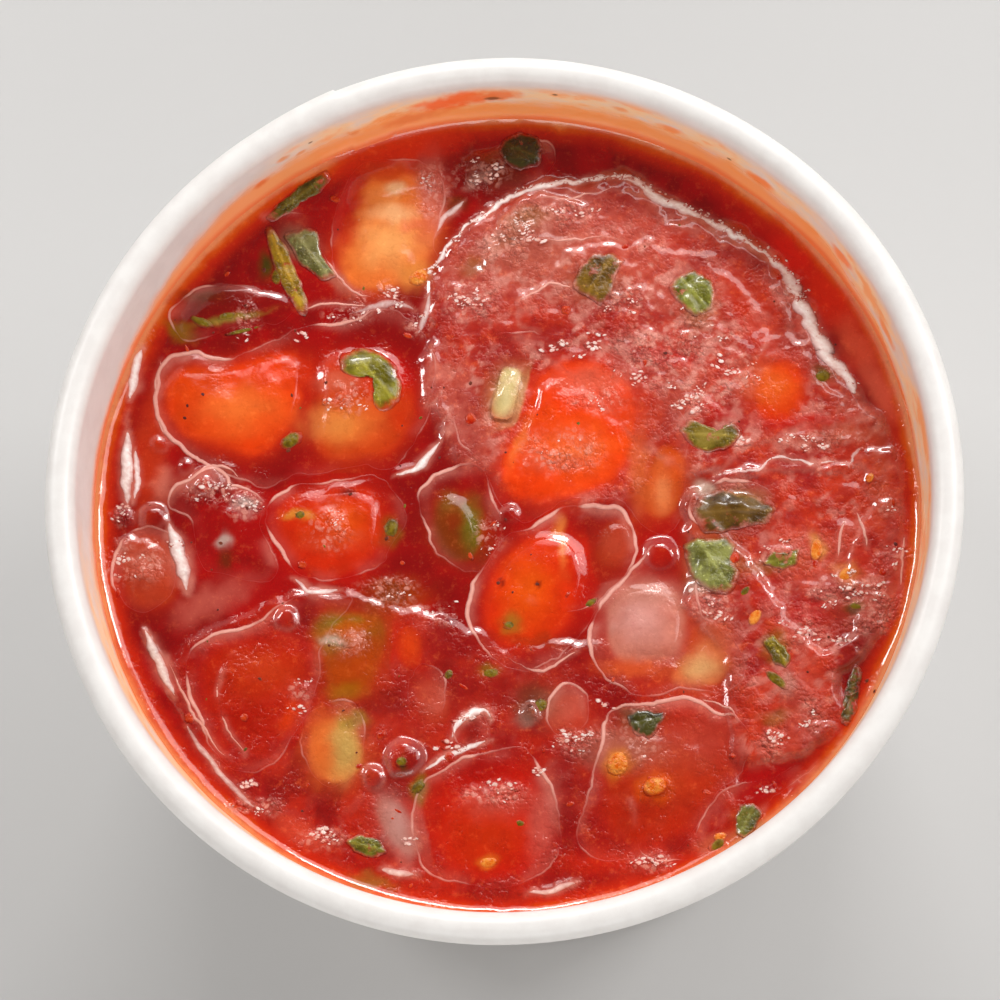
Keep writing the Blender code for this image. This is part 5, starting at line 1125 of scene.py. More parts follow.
def sauce_mesh():
    """A round grid laid on the film, its edge drawn down the wall to the cup's floor."""
    line = np.linspace(-1, 1, SURFACE_CELLS + 1)
    square_x, square_y = (side.ravel() for side in np.meshgrid(line, line, indexing="ij"))
    wide = np.abs(square_x) > np.abs(square_y)
    with np.errstate(divide="ignore", invalid="ignore"):
        turn = np.where(wide, math.pi / 4 * square_y / square_x, math.pi / 2 - math.pi / 4 * square_x / square_y)
    radius = np.where(wide, square_x, square_y)
    turn = np.nan_to_num(turn)
    x = radius * np.cos(turn) * contact_radius
    y = radius * np.sin(turn) * contact_radius
    z = over_grid(film_height, x, y)
    count = SURFACE_CELLS + 1
    index = np.arange(count * count).reshape(count, count)
    faces = np.column_stack([
        index[:-1, :-1].ravel(), index[1:, :-1].ravel(), index[1:, 1:].ravel(), index[:-1, 1:].ravel(),
    ]).tolist()
    edge = np.concatenate([index[:, 0], index[-1, 1:], index[-2::-1, -1], index[0, -2:0:-1]])
    z[edge] = LEVEL + CLIMB
    places = np.column_stack([x, y, z])
    floor_share = wall_radius(SAUCE_FLOOR) / contact_radius
    lower = np.column_stack([x[edge] * floor_share, y[edge] * floor_share, np.full(len(edge), SAUCE_FLOOR)])
    first = len(places)
    for step, start in enumerate(edge):
        after = (step + 1) % len(edge)
        faces.append((int(start), first + step, first + after, int(edge[after])))
    faces.append(tuple(range(first + len(edge) - 1, first - 1, -1)))
    places = np.vstack([places, lower])
    return mesh_from("sauce_body", places, faces), places


def granules(tree, place, scale):
    """Round-topped grains packed side by side: 1 at the middle of each, falling to its edge."""
    warp = node(tree, "ShaderNodeTexNoise", inputs={"Vector": place, "Scale": 0.6 * scale, "Detail": 2.0})
    moved = node(tree, "ShaderNodeVectorMath", operation="MULTIPLY_ADD")
    tree.links.new(warp.outputs["Color"], moved.inputs[0])
    moved.inputs[1].default_value = (1.6 / scale, 1.6 / scale, 0.0)
    tree.links.new(place, moved.inputs[2])
    cells = node(tree, "ShaderNodeTexVoronoi", voronoi_dimensions="2D", feature="F1", inputs={
        "Vector": moved.outputs[0], "Scale": scale,
    })
    near = cells.outputs["Distance"]
    return math_node(tree, "MULTIPLY_ADD", math_node(tree, "MULTIPLY", near, near), -1.8, 1.0)


def wet_grain_group():
    """Fine unevenness of a wet surface, as a normal: broad ripple and small grain."""
    tree = bpy.data.node_groups.new("wet_grain", "ShaderNodeTree")
    face = tree.interface
    face.new_socket("Place", in_out="INPUT", socket_type="NodeSocketVector")
    face.new_socket("Coarse", in_out="INPUT", socket_type="NodeSocketFloat")
    face.new_socket("Fine", in_out="INPUT", socket_type="NodeSocketFloat")
    face.new_socket("Normal", in_out="OUTPUT", socket_type="NodeSocketVector")
    given = tree.nodes.new("NodeGroupInput")
    out = tree.nodes.new("NodeGroupOutput")
    coarse = granules(tree, given.outputs["Place"], 1700.0)
    fine = granules(tree, given.outputs["Place"], 3300.0)
    gathered = remap(tree, noise(tree, given.outputs["Place"], 420.0, 2.0, 0.5), 0.42, 0.62, 0.25, 1.3)
    height = math_node(
        tree, "ADD",
        math_node(tree, "MULTIPLY", coarse, given.outputs["Coarse"]),
        math_node(tree, "MULTIPLY", fine, given.outputs["Fine"]),
    )
    height = math_node(tree, "MULTIPLY", height, gathered)
    bump = node(tree, "ShaderNodeBump", inputs={"Strength": 1.0, "Distance": 0.1 * MM, "Height": height})
    tree.links.new(bump.outputs["Normal"], out.inputs["Normal"])
    return tree


WET_GRAIN = wet_grain_group()


def add_wet_grain(tree, shader, place, coarse, fine):
    grain = tree.nodes.new("ShaderNodeGroup")
    grain.node_tree = WET_GRAIN
    tree.links.new(place, grain.inputs["Place"])
    for label, content in (("Coarse", coarse), ("Fine", fine)):
        if isinstance(content, bpy.types.NodeSocket):
            tree.links.new(content, grain.inputs[label])
        else:
            grain.inputs[label].default_value = content
    tree.links.new(grain.outputs["Normal"], shader.inputs["Normal"])


def flecked_group():
    """Fine shreds and pores of pulp: a tone made lighter and darker in small flecks."""
    tree = bpy.data.node_groups.new("pulp_flecks", "ShaderNodeTree")
    face = tree.interface
    face.new_socket("Place", in_out="INPUT", socket_type="NodeSocketVector")
    face.new_socket("Tone", in_out="INPUT", socket_type="NodeSocketColor")
    face.new_socket("Amount", in_out="INPUT", socket_type="NodeSocketFloat")
    face.new_socket("Crumb", in_out="INPUT", socket_type="NodeSocketFloat")
    face.new_socket("Colour", in_out="OUTPUT", socket_type="NodeSocketColor")
    given = tree.nodes.new("NodeGroupInput")
    out = tree.nodes.new("NodeGroupOutput")
    place, tone, amount = (given.outputs[label] for label in ("Place", "Tone", "Amount"))
    shred = noise(tree, place, 1100.0, 5.0, 0.7)
    grain = noise(tree, place, 3600.0, 2.0, 0.6)
    pale = mix(tree, 0.35, mix(tree, 1.0, tone, (1.5, 2.0, 2.2, 1), "MULTIPLY"), seen(236, 120, 74))
    dark = mix(tree, 1.0, tone, (0.62, 0.42, 0.4, 1), "MULTIPLY")
    for field, low, high, share in ((shred, 0.54, 0.72, 0.7), (grain, 0.6, 0.74, 0.45)):
        mask = math_node(tree, "MULTIPLY", remap(tree, field, low, high, 0.0, share), amount)
        tone = mix(tree, mask, tone, pale)
    for field, low, high, share in ((shred, 0.46, 0.3, 0.5), (grain, 0.42, 0.3, 0.3)):
        mask = math_node(tree, "MULTIPLY", remap(tree, field, low, high, 0.0, share), amount)
        tone = mix(tree, mask, tone, dark)
    # Pale crumbs in the rough spots: partly crushed flesh, partly painted sparkle
    crumbs = remap(tree, granules(tree, place, 1700.0), 0.5, 0.9)
    crumbs = math_node(tree, "MULTIPLY", crumbs, remap(tree, shred, 0.42, 0.6))
    crumbs = math_node(tree, "MULTIPLY", crumbs, given.outputs["Crumb"])
    tone = mix(tree, math_node(tree, "MULTIPLY", crumbs, 0.6), tone, seen(240, 168, 152))
    tree.links.new(tone, out.inputs["Colour"])
    return tree


PULP_FLECKS = flecked_group()


def attribute(tree, label, kind="Fac"):
    return node(tree, "ShaderNodeAttribute", attribute_name=label).outputs[kind]


def flecked(tree, place, tone, amount, crumb=0.0):
    flecks = tree.nodes.new("ShaderNodeGroup")
    flecks.node_tree = PULP_FLECKS
    tree.links.new(place, flecks.inputs["Place"])
    for label, content in (("Tone", tone), ("Amount", amount), ("Crumb", crumb)):
        if isinstance(content, bpy.types.NodeSocket):
            tree.links.new(content, flecks.inputs[label])
        else:
            flecks.inputs[label].default_value = content
    return flecks.outputs["Colour"]


def wet_material(name, smooth, rough, gloss, haze):
    """Wet food under a thin clear film: its own flecked tone, dull below and glossy on top."""
    skin, tree, shader = new_material(name)
    place = tree.nodes.new("ShaderNodeTexCoord").outputs["Object"]
    pulp = attribute(tree, "pulp")
    spot = attribute(tree, "rough_spot")
    amount = remap(tree, pulp, 0.0, 0.9, 0.5, 1.0)
    tone = flecked(tree, place, attribute(tree, "tone", "Color"), amount, spot)
    tree.links.new(tone, shader.inputs["Base Color"])
    tree.links.new(remap(tree, pulp, 0.0, 1.0, smooth, rough), shader.inputs["Roughness"])
    coarse = math_node(tree, "MULTIPLY_ADD", spot, 0.75, math_node(tree, "MULTIPLY_ADD", pulp, 0.34, 0.12))
    fine = math_node(tree, "MULTIPLY_ADD", spot, 0.6, math_node(tree, "MULTIPLY_ADD", pulp, 0.25, 0.1))
    add_wet_grain(tree, shader, place, coarse, fine)
    tree.links.new(remap(tree, spot, 0.2, 1.0, gloss, 0.6 * gloss), shader.inputs["Coat Weight"])
    shader.inputs["Specular IOR Level"].default_value = 0.3
    shader.inputs["Specular Tint"].default_value = (1.0, 0.72, 0.66, 1.0)
    shader.inputs["Coat Roughness"].default_value = haze
    return skin


sauce_data, sauce_places = sauce_mesh()
colour_wet_surface(sauce_data, sauce_places)
sauce_body = add_piece("sauce_body", sauce_data, "sauce", "sauce")
sauce_data.set_sharp_from_angle(angle=math.radians(60))
sauce_body.data.materials.append(wet_material("wet_sauce", 0.1, 0.36, 1.0, 0.04))

# The diced pieces again: their tops are drawn to the film that runs over them
DICE_SKINS = {
    "tomato": wet_material("tomato_flesh_and_skin", 0.16, 0.36, 0.5, 0.1),
    "onion": wet_material("onion_flesh", 0.18, 0.34, 0.5, 0.1),
    "pepper": wet_material("pepper_flesh", 0.16, 0.34, 0.6, 0.08),
}
SLOTS = {"tomato_far": "tomato_flesh", "tomato_side_slice": "tomato_flesh",
         "tomato_pale": "tomato_flesh", "tomato_rough": "tomato_flesh"}
for dice_name, (shape, places, tones) in dice_shapes.items():
    kind = dice_name.split("_")[0]
    x, y, z = places.T
    own_film = over_grid(film_height, x, y)
    proud = (-0.07 + 0.095 * smooth_step(over_grid(inner_print, x, y), 0.5, 1.0)) * MM
    if dice_name == "onion_stick":
        proud = proud + 0.35 * MM
    drawn = smooth_step((z - own_film) / MM, -0.9, -0.3)
    places[:, 2] = z + drawn * (own_film + proud - z)
    shape.vertices.foreach_set("co", places.ravel())
    shape.update()
    colour_wet_surface(shape, places)
    dice = add_piece(dice_name + "_dice", shape, SLOTS.get(dice_name, kind), dice_name)
    dice.data.materials.append(DICE_SKINS[kind])


# Lips, white streaks and sparkle beads of the film
# The film ends in a thin pale lip round every piece and fold, whose pale is partly painted
# highlight, and white streaks of painted highlight run by the wall and along the pulp. Both are
# laid as fine beads of sauce along their lines.
LINE_STEP = 0.2
# Section of such a bead: share of its half width, and of its height above or root below
BEAD_SECTION = ((-1, 0), (-0.66, 0.56), (-0.33, 0.89), (0, 1), (0.33, 0.89), (0.66, 0.56), (1, 0),
                (0.5, -1), (-0.5, -1))
BEAD_ROOT = 0.1
# Pale pink of the lips: the film's pale edge, partly painted highlight
LIP_HIGHLIGHT_TONE = (244, 178, 164)
# White of the streaks: a painted highlight
WHITE_HIGHLIGHT = (0.98, 0.93, 0.89)


def curve_through(line, closed):
    """Points a step apart along a smooth curve that passes through all of a line's points."""
    points = np.array(line, dtype=float)
    if closed:
        around = np.vstack([points[-1:], points, points[:2]])
    else:
        around = np.vstack([2 * points[0] - points[1], points, 2 * points[-1] - points[-2]])
    walked = []
    for before, start, end, after in zip(around, around[1:], around[2:], around[3:]):
        count = max(2, int(np.linalg.norm(end - start) / LINE_STEP))
        t = np.linspace(0, 1, count, endpoint=False)[:, None]
        bend = (2 * before - 5 * start + 4 * end - after) * t ** 2
        twist = (3 * start - before - 3 * end + after) * t ** 3
        walked.append(0.5 * (2 * start + (end - before) * t + bend + twist))
    return np.vstack(walked)


def bead_rings(middle, closed, half_width, height):
    """Sections of a bead laid along a line on the film, its ends drawn out to nothing."""
    ahead, behind = np.roll(middle, -1, 0), np.roll(middle, 1, 0)
    if not closed:
        ahead[-1], behind[0] = middle[-1], middle[0]
    run = ahead - behind
    run /= np.linalg.norm(run, axis=1)[:, None] + 1e-9
    across = np.column_stack([-run[:, 1], run[:, 0]])
    rings = []
    for side, up in BEAD_SECTION:
        place = (middle + across * (side * half_width)[:, None]) * MM
        lift = (up * height if up > 0 else np.full(len(middle), up * BEAD_ROOT)) - 0.01
        rings.append(np.column_stack([place, over_grid(film_height, *place.T) + lift * MM]))
    return np.stack(rings, axis=1)


def beads_mesh(name, rows):
    """One mesh of all beads: rows of a line, whether closed, its widths, height and shares."""
    points, faces, shares = [], [], []
    first = 0
    sides = len(BEAD_SECTION)
    for middle, closed, half_width, height, strength in rows:
        rings = bead_rings(middle, closed, half_width, height)
        count = len(rings)
        points.append(rings.reshape(-1, 3))
        rounded = np.array([1 - side ** 2 for side, _ in BEAD_SECTION])
        shares.append((strength[:, None] * rounded).ravel())
        for ring in range(count if closed else count - 1):
            here, there = first + ring * sides, first + (ring + 1) % count * sides
            for side in range(sides):
                after = (side + 1) % sides
                faces.append((here + side, there + side, there + after, here + after))
        if not closed:
            faces.append(tuple(range(first, first + sides)))
            faces.append(tuple(range(first + count * sides - 1, first + (count - 1) * sides - 1, -1)))
        first += count * sides
    points = np.vstack(points)
    return mesh_from(name, points, faces), points, np.concatenate(shares)


def film_fading(x, y):
    """How much of a lip is drawn at a place: it thins out and breaks here and there."""
    wander = smooth_step(lattice(x, y, 4.5 * MM, 86), -0.3, 0.6)
    whole = smooth_step(lattice(x, y, 1.9 * MM, 98), -0.7, 0.2)
    return (1 - 0.8 * wander) * (0.15 + 0.85 * whole)


def lip_row(line, closed, crinkle, half_width, height, strength):
    """A lip along a line that is crinkled as the film under it is."""
    middle = curve_through(line, closed)
    bent = np.column_stack(crinkled(*crinkle, *(middle * MM).T))
    middle = 2 * middle - bent
    inside = np.hypot(*middle.T) < contact_radius / MM - 0.5
    if not inside.all():
        start = int(np.argmin(inside))
        middle, inside = np.roll(middle, -start, 0), np.roll(inside, -start)
        middle, closed = middle[inside], False
    fading = film_fading(*(middle * MM).T)
    # Closed lips are paler on their far and left sides, where the light catches them: painted highlight
    if closed:
        out = middle - middle.mean(axis=0)
        far_left = (0.8 * out[:, 1] - 0.4 * out[:, 0]) / np.linalg.norm(out, axis=1)
        fading = fading * (0.3 + 0.7 * smooth_step(far_left, -0.6, 0.2))
        ends = np.ones(len(middle))
    else:
        ends = np.sqrt(np.sin(math.pi * np.linspace(0.01, 0.99, len(middle))))
    fading = strength * fading
    width = half_width * (0.3 + 0.9 * fading) * ends
    return middle, closed, width, height * (0.2 + 0.8 * fading) * ends, smooth_step(fading, 0.05, 0.7)


lip_rows = [lip_row(outline, True, (0.22, 1.6 * MM, 81), 0.2, 0.06, clear)
            for _, _, clear, outline in FILM_SWELLS if clear > 0]
lip_rows += [lip_row(line, False, (0.2, 1.3 * MM, 71), 0.14, 0.05, 0.9) for _, _, line in FILM_RIDGES[10:]]
lips_data, lip_places, lip_highlight_shares = beads_mesh("film_lips", lip_rows)
lip_base = surface_tone(*lip_places[:, :2].T)[0]
set_colours(lips_data, "tone", blend(lip_base, seen(*LIP_HIGHLIGHT_TONE), lip_highlight_shares))


def highlight_froth_row(line, half_width, strength):
    """A white streak of painted highlight, laid as a bead of sauce, pointed at both ends and uneven along its sides."""
    middle = curve_through(line, False)
    long = len(middle) * LINE_STEP
    bent = np.column_stack(crinkled(0.14 if long < 12 else 0.3, 1.2 * MM, 64, *(middle * MM).T))
    middle = 2 * middle - bent
    uneven = 1 + (0.3 if long < 12 else 0.6) * lattice(*(middle * MM).T, 0.8 * MM, 66)
    ends = np.sin(math.pi * np.linspace(0.01, 0.99, len(middle))) ** (0.7 if long < 12 else 0.2)
    width = 1.3 * half_width * uneven * ends
    return middle, False, width, 0.1 * width, strength * (0.55 + 0.45 * ends)


highlight_froth_data, highlight_froth_places, highlight_froth_shares = beads_mesh("white_highlight_froth", [
    highlight_froth_row(line, half_width, strength) for half_width, strength, line in HIGHLIGHT_STREAKS])
highlight_froth_base = surface_tone(*highlight_froth_places[:, :2].T)[0]
strands = 0.82 + 0.18 * lattice(*highlight_froth_places[:, :2].T, 0.16 * MM, 67)
highlight_froth_shares = smooth_step(highlight_froth_shares * strands, 0.04, 0.95)
set_colours(highlight_froth_data, "tone", blend(highlight_froth_base, np.array(WHITE_HIGHLIGHT), highlight_froth_shares))


def film_material(name, low, high):
    """Thin film over the sauce: its own tone with a faint mottle, and wet."""
    skin, tree, shader = new_material(name)
    place = tree.nodes.new("ShaderNodeTexCoord").outputs["Object"]
    mottle = noise(tree, place, 2200.0, 3.0, 0.6)
    tone = attribute(tree, "tone", "Color")
    darker = mix(tree, 1.0, tone, (0.95, 0.88, 0.86, 1), "MULTIPLY")
    tree.links.new(mix(tree, remap(tree, mottle, 0.35, 0.65), darker, tone), shader.inputs["Base Color"])
    tree.links.new(remap(tree, mottle, 0.3, 0.7, low, high), shader.inputs["Roughness"])
    shader.inputs["Specular IOR Level"].default_value = 0.3
    return skin


film_lips = add_piece("film_lips", lips_data, "sauce")
film_lips.data.materials.append(film_material("pale_lip_highlight", 0.28, 0.4))
white_highlight_froth = add_piece("white_highlight_froth", highlight_froth_data, "sauce")
white_highlight_froth.data.materials.append(film_material("froth_highlight", 0.2, 0.34))


# Herb leaves and stems
# Fresh leaves torn small and stirred in. They lie in the film, thin and wavy, darkened
# and reddened where the sauce runs over them.
# Torn outline walked round in millimetres, colour, and how much sauce lies over the leaf
LEAVES = {
    "leaf_far": (((-0.8, 32.4), (0, 33.5), (1.3, 33.8), (2.5, 33.3), (3.1, 32.1), (2.8, 30.7),
        (1.2, 30.1), (-0.2, 30.9)), (70, 66, 26), 0.2),
    "leaf_wall": (((-21, 26.2), (-19.2, 27.9), (-17.5, 29.4), (-15.8, 30.5), (-15.3, 29.8),
        (-16.2, 28.6), (-17.9, 27.6), (-19.1, 26.5), (-20.4, 25.7)), (104, 92, 34), 0.2),
    "leaf_far_left": (((-19.3, 24.6), (-17.8, 25.3), (-16.5, 24.9), (-16.2, 23.1), (-15.5, 22),
        (-14.6, 20.8), (-15.6, 20.3), (-16.9, 21.2), (-17.7, 21.6), (-18.4, 22.9)), (144, 140, 88),
        0.2),
    "leaf_curl": (((-14.3, 13.4), (-12.9, 14.2), (-11.1, 13.9), (-9.7, 12.9), (-9, 11.3), (-9.1,
        9.5), (-9.8, 8.4), (-11.1, 8.5), (-11.3, 9.3), (-10.3, 9.9), (-10.7, 11.1), (-11.6, 11.7),
        (-12.8, 11.5), (-14.1, 12)), (146, 138, 48), 0.08),
    "leaf_far_right": (((5.7, 19.4), (6.3, 21.1), (7.4, 22.3), (8.9, 22.4), (10.3, 21.7), (9.4,
        20.5), (9, 18.8), (8.1, 17.6), (6.9, 18.4)), (132, 98, 36), 0.3),
    "leaf_bright": (((13.8, 19.1), (14.8, 20.3), (16.2, 20.8), (17.6, 19.8), (17.9, 18.2),
        (17.4, 17.1), (16.2, 16.5), (15, 17.6)), (140, 142, 66), 0.12),
    "leaf_centre_right": (((14.7, 6.7), (15.6, 7.4), (16.9, 6.8), (18.2, 6.2), (19.4, 7.2),
        (20.1, 6.2), (19.4, 5.2), (17.8, 4.6), (16.5, 4.6), (15.2, 5.5)), (142, 122, 56), 0.3),
    "leaf_folded": (((15.7, -0.8), (16.4, 0.8), (18.1, 1.4), (19.8, 0.9), (21.4, 0.5), (22.8,
        -0.4), (22.1, -1.6), (20.2, -1.9), (18.5, -2.4), (16.8, -2.6)), (112, 84, 44), 0.3),
    "leaf_beside_onion": (((15, -3.4), (16.3, -3.1), (17.9, -3.1), (18.7, -2.7), (19.4, -3.7),
        (19.2, -4.8), (19.6, -5.9), (19.3, -7.1), (18.6, -7.9), (17.6, -7.8), (16.6, -7.2), (15.8, -6.3),
        (15.3, -5.2)), (146, 148, 82), 0.16),
    "leaf_small_right": (((21.7, -5.2), (22.5, -4.1), (23.8, -4.4), (24.7, -3.9), (24.6, -5.1),
        (23.4, -5.6)), (126, 122, 50), 0.2),
    "leaf_right_edge": (((27.8, -18.7), (28.1, -17.1), (28.4, -15.4), (29.1, -13.7), (29.6,
        -14.2), (29.5, -16.2), (29, -18.1), (28.4, -19.2)), (104, 88, 34), 0.35),
    "leaf_near_right": (((19.2, -28), (19, -26.6), (19.6, -25.5), (20.7, -25.6), (21.4, -26.4),
        (20.6, -27.7), (19.9, -28.5)), (118, 120, 58), 0.2),
    "leaf_near_left": (((-12.9, -28.5), (-11.7, -28), (-10, -28.5), (-9.5, -29.5), (-10.8, -30),
        (-12.3, -29.4)), (126, 124, 50), 0.15),
    "leaf_on_tomato": (((10.1, -18), (11.3, -17.6), (13.6, -17.9), (13, -18.9), (12.2, -20),
        (11.1, -19.9), (10.5, -19.1)), (74, 74, 30), 0.15),
    "stem_far_left": (((-21.1, 25.3), (-20.4, 25.5), (-19, 23.2), (-17.8, 20.4), (-17.1, 18.2),
        (-17.2, 16.9), (-17.8, 17.3), (-19.1, 19.4), (-20.3, 22.3)), (172, 134, 42), 0.12),
    "stem_right": (((21.5, -12), (22.3, -11.3), (23.2, -12.4), (23.9, -13.3), (23.5, -14.2),
        (22.6, -13.8)), (146, 126, 40), 0.15),
}
LEAF_SIDES = 56
LEAF_RINGS = 9


def torn_edge(outline, seed):
    """The outline taken round in even steps, rounded and finely torn."""
    corners = np.array(outline + outline[:1], dtype=float)
    length = np.r_[0, np.cumsum(np.hypot(*np.diff(corners, axis=0).T))]
    step = np.linspace(0, length[-1], LEAF_SIDES, endpoint=False)
    x = np.interp(step, length, corners[:, 0])
    y = np.interp(step, length, corners[:, 1])
    x, y = (np.roll(x, 1) + 2 * x + np.roll(x, -1)) / 4, (np.roll(y, 1) + 2 * y + np.roll(y, -1)) / 4
    return x + 0.14 * lattice(x, y, 0.5, seed), y + 0.14 * lattice(x, y, 0.5, seed + 1)


def leaf_mesh(name, outline, seed):
    """Rings in from a torn outline, laid in the wet surface and waved."""
    edge_x, edge_y = torn_edge(outline, seed)
    middle_x, middle_y = edge_x.mean(), edge_y.mean()
    shares = np.repeat(np.arange(1, LEAF_RINGS + 1) / LEAF_RINGS, LEAF_SIDES)
    x = np.r_[middle_x, middle_x + shares * np.tile(edge_x - middle_x, LEAF_RINGS)] * MM
    y = np.r_[middle_y, middle_y + shares * np.tile(edge_y - middle_y, LEAF_RINGS)] * MM
    share = np.r_[0.0, shares]
    spread_out = np.cov(np.vstack([edge_x, edge_y]))
    along = np.linalg.eigh(spread_out)[1][:, 1]
    across = np.abs((x / MM - middle_x) * along[1] - (y / MM - middle_y) * along[0])
    rib = np.exp(-(across / 0.14) ** 2)
    wave = 0.09 * lattice(x, y, 1.2 * MM, seed + 3) + 0.04 * lattice(x, y, 0.5 * MM, seed + 4)
    lift = 0.07 + 0.8 * wave + 0.03 * rib - 0.13 * smooth_step(share, 0.7, 1.0)
    z = over_grid(film_height, x, y) + lift * MM
    faces = []
    for side in range(LEAF_SIDES):
        after = (side + 1) % LEAF_SIDES
        faces.append((0, 1 + side, 1 + after))
        for ring in range(LEAF_RINGS - 1):
            low, high = 1 + ring * LEAF_SIDES, 1 + (ring + 1) * LEAF_SIDES
            faces.append((low + side, high + side, high + after, low + after))
    data = mesh_from(name + "_blade", np.column_stack([x, y, z]), faces)
    set_values(data, "rib", rib)
    set_values(data, "edge", share)
    set_colours(data, "tone", surface_tone(x, y)[0])
    return data


def leaf_material(name, colour, sauce_over):
    """A leaf's mottled green with its faint rib, redder at the edge and where sauce lies."""
    skin, tree, shader = new_material(name)
    place = tree.nodes.new("ShaderNodeTexCoord").outputs["Object"]
    mottle = noise(tree, place, 560.0, 4.0, 0.6)
    speck = noise(tree, place, 2600.0, 3.0, 0.6)
    dark = tuple(value * 0.66 for value in colour)
    tone = mix(tree, remap(tree, mottle, 0.35, 0.62), seen(*dark), seen(*colour))
    pale = tuple(min(255, value * 1.35 + 20) for value in colour)
    tone = mix(tree, math_node(tree, "MULTIPLY", attribute(tree, "rib"), 0.3), tone, seen(*pale))
    tone = mix(tree, remap(tree, speck, 0.58, 0.72, 0.0, 0.6), tone, seen(*pale))
    red = flecked(tree, place, attribute(tree, "tone", "Color"), 1.0, 0.6)
    cloud = noise(tree, place, 520.0, 4.0, 0.65)
    over = remap(tree, cloud, 0.66 - sauce_over * 0.5, 0.76 - sauce_over * 0.5, 0.0, 0.85)
    fringe = math_node(tree, "MULTIPLY_ADD", cloud, 0.5, attribute(tree, "edge"))
    edge = remap(tree, fringe, 0.98, 1.26)
    over = math_node(tree, "MAXIMUM", over, edge)
    tree.links.new(mix(tree, over, tone, red), shader.inputs["Base Color"])
    tree.links.new(remap(tree, mottle, 0.3, 0.7, 0.26, 0.46), shader.inputs["Roughness"])
    add_wet_grain(tree, shader, place, 0.5, 0.35)
    shader.inputs["Coat Weight"].default_value = 0.5
    shader.inputs["Coat Roughness"].default_value = 0.06
    shader.inputs["Specular IOR Level"].default_value = 0.3
    return skin


for count, (leaf_name, (outline, colour, sauce_over)) in enumerate(LEAVES.items()):
    blade = add_piece(leaf_name + "_blade", leaf_mesh(leaf_name, outline, 60 + 7 * count), "herb", leaf_name)
    thickness = blade.modifiers.new("thickness", "SOLIDIFY")
    thickness.thickness = 0.12 * MM
    thickness.offset = -1.0
    blade.data.materials.append(leaf_material(leaf_name, colour, sauce_over))


# Seeds, specks and shreds
# Small things stirred into the sauce: tomato seeds in their gel, flecks of herb, ground
# pepper and scraps of flesh. Each is a lens-shaped bit pressed into the film.
# Place, half length and half width in millimetres, and turn in degrees
SEEDS = (
    (26.1, -4.0, 1.0, 0.55, 80), (28.6, -6.1, 0.9, 0.6, 35), (20.9, -9.8, 0.9, 0.5, 60),
    (9.5, -22.1, 1.15, 1.0, 70), (12.5, -24.1, 1.05, 0.8, 20), (-1.2, -30.3, 0.75, 0.5, 10),
    (-7.6, 20.6, 0.95, 0.75, 30), (30.7, 2.2, 0.5, 0.35, 60), (17.8, -28.2, 0.6, 0.4, 15),
)
GREEN_BITS = (
    (23.4, -4.7, 0.6, 0.35, 20), (-7.0, -24.0, 0.75, 0.5, 40), (7.2, -8.4, 0.7, 0.3, 35),
    (0.5, -10.3, 0.6, 0.35, 0), (1.4, -27.1, 0.4, 0.3, 0), (-4.6, -14.5, 0.5, 0.35, 60),
    (-26.3, 16.7, 1.1, 0.4, -25), (-24.1, 17.2, 0.8, 0.3, 10), (-1.1, -14.4, 0.8, 0.45, 5),
    (-17.3, -0.7, 0.5, 0.4, 0), (20.1, -7.6, 0.6, 0.3, 50), (-18.3, 6.0, 1.0, 0.7, 40),
    (-9.6, -1.8, 0.9, 0.7, 80), (26.9, 11.2, 0.8, 0.6, 20), (29.3, -8.9, 0.6, 0.35, 0),
    (-19.8, 20.9, 1.0, 0.55, 80), (3.0, -17.2, 0.8, 0.6, 30), (-8.4, -22.0, 0.5, 0.45, 0),
    (22.6, -15.2, 1.2, 0.5, -40), (-22.6, 15.9, 1.6, 0.22, 14), (17.6, -28.9, 0.8, 0.5, 40),
)
SPECKS = (
    (13.6, 13.3), (27.1, 11.3), (-3.0, 10.9), (-21.9, 0.0), (-24.0, -3.1), (-18.5, 5.1),
    (-10.0, -2.7), (-8.3, -22.1), (2.2, -17.3), (29.2, -9.0), (-13.1, 1.1), (-21.0, 21.4),
    (32.7, -3.6), (-20.4, -14.9), (30.1, -15.2), (30.7, -16.2), (-18.3, 9.9), (-0.5, -6.7),
    (2.8, -6.9), (-4.9, -14.6), (-27.2, 9.1), (-25.9, 10.0), (-27.4, 8.0), (-15.3, 11.0),
)


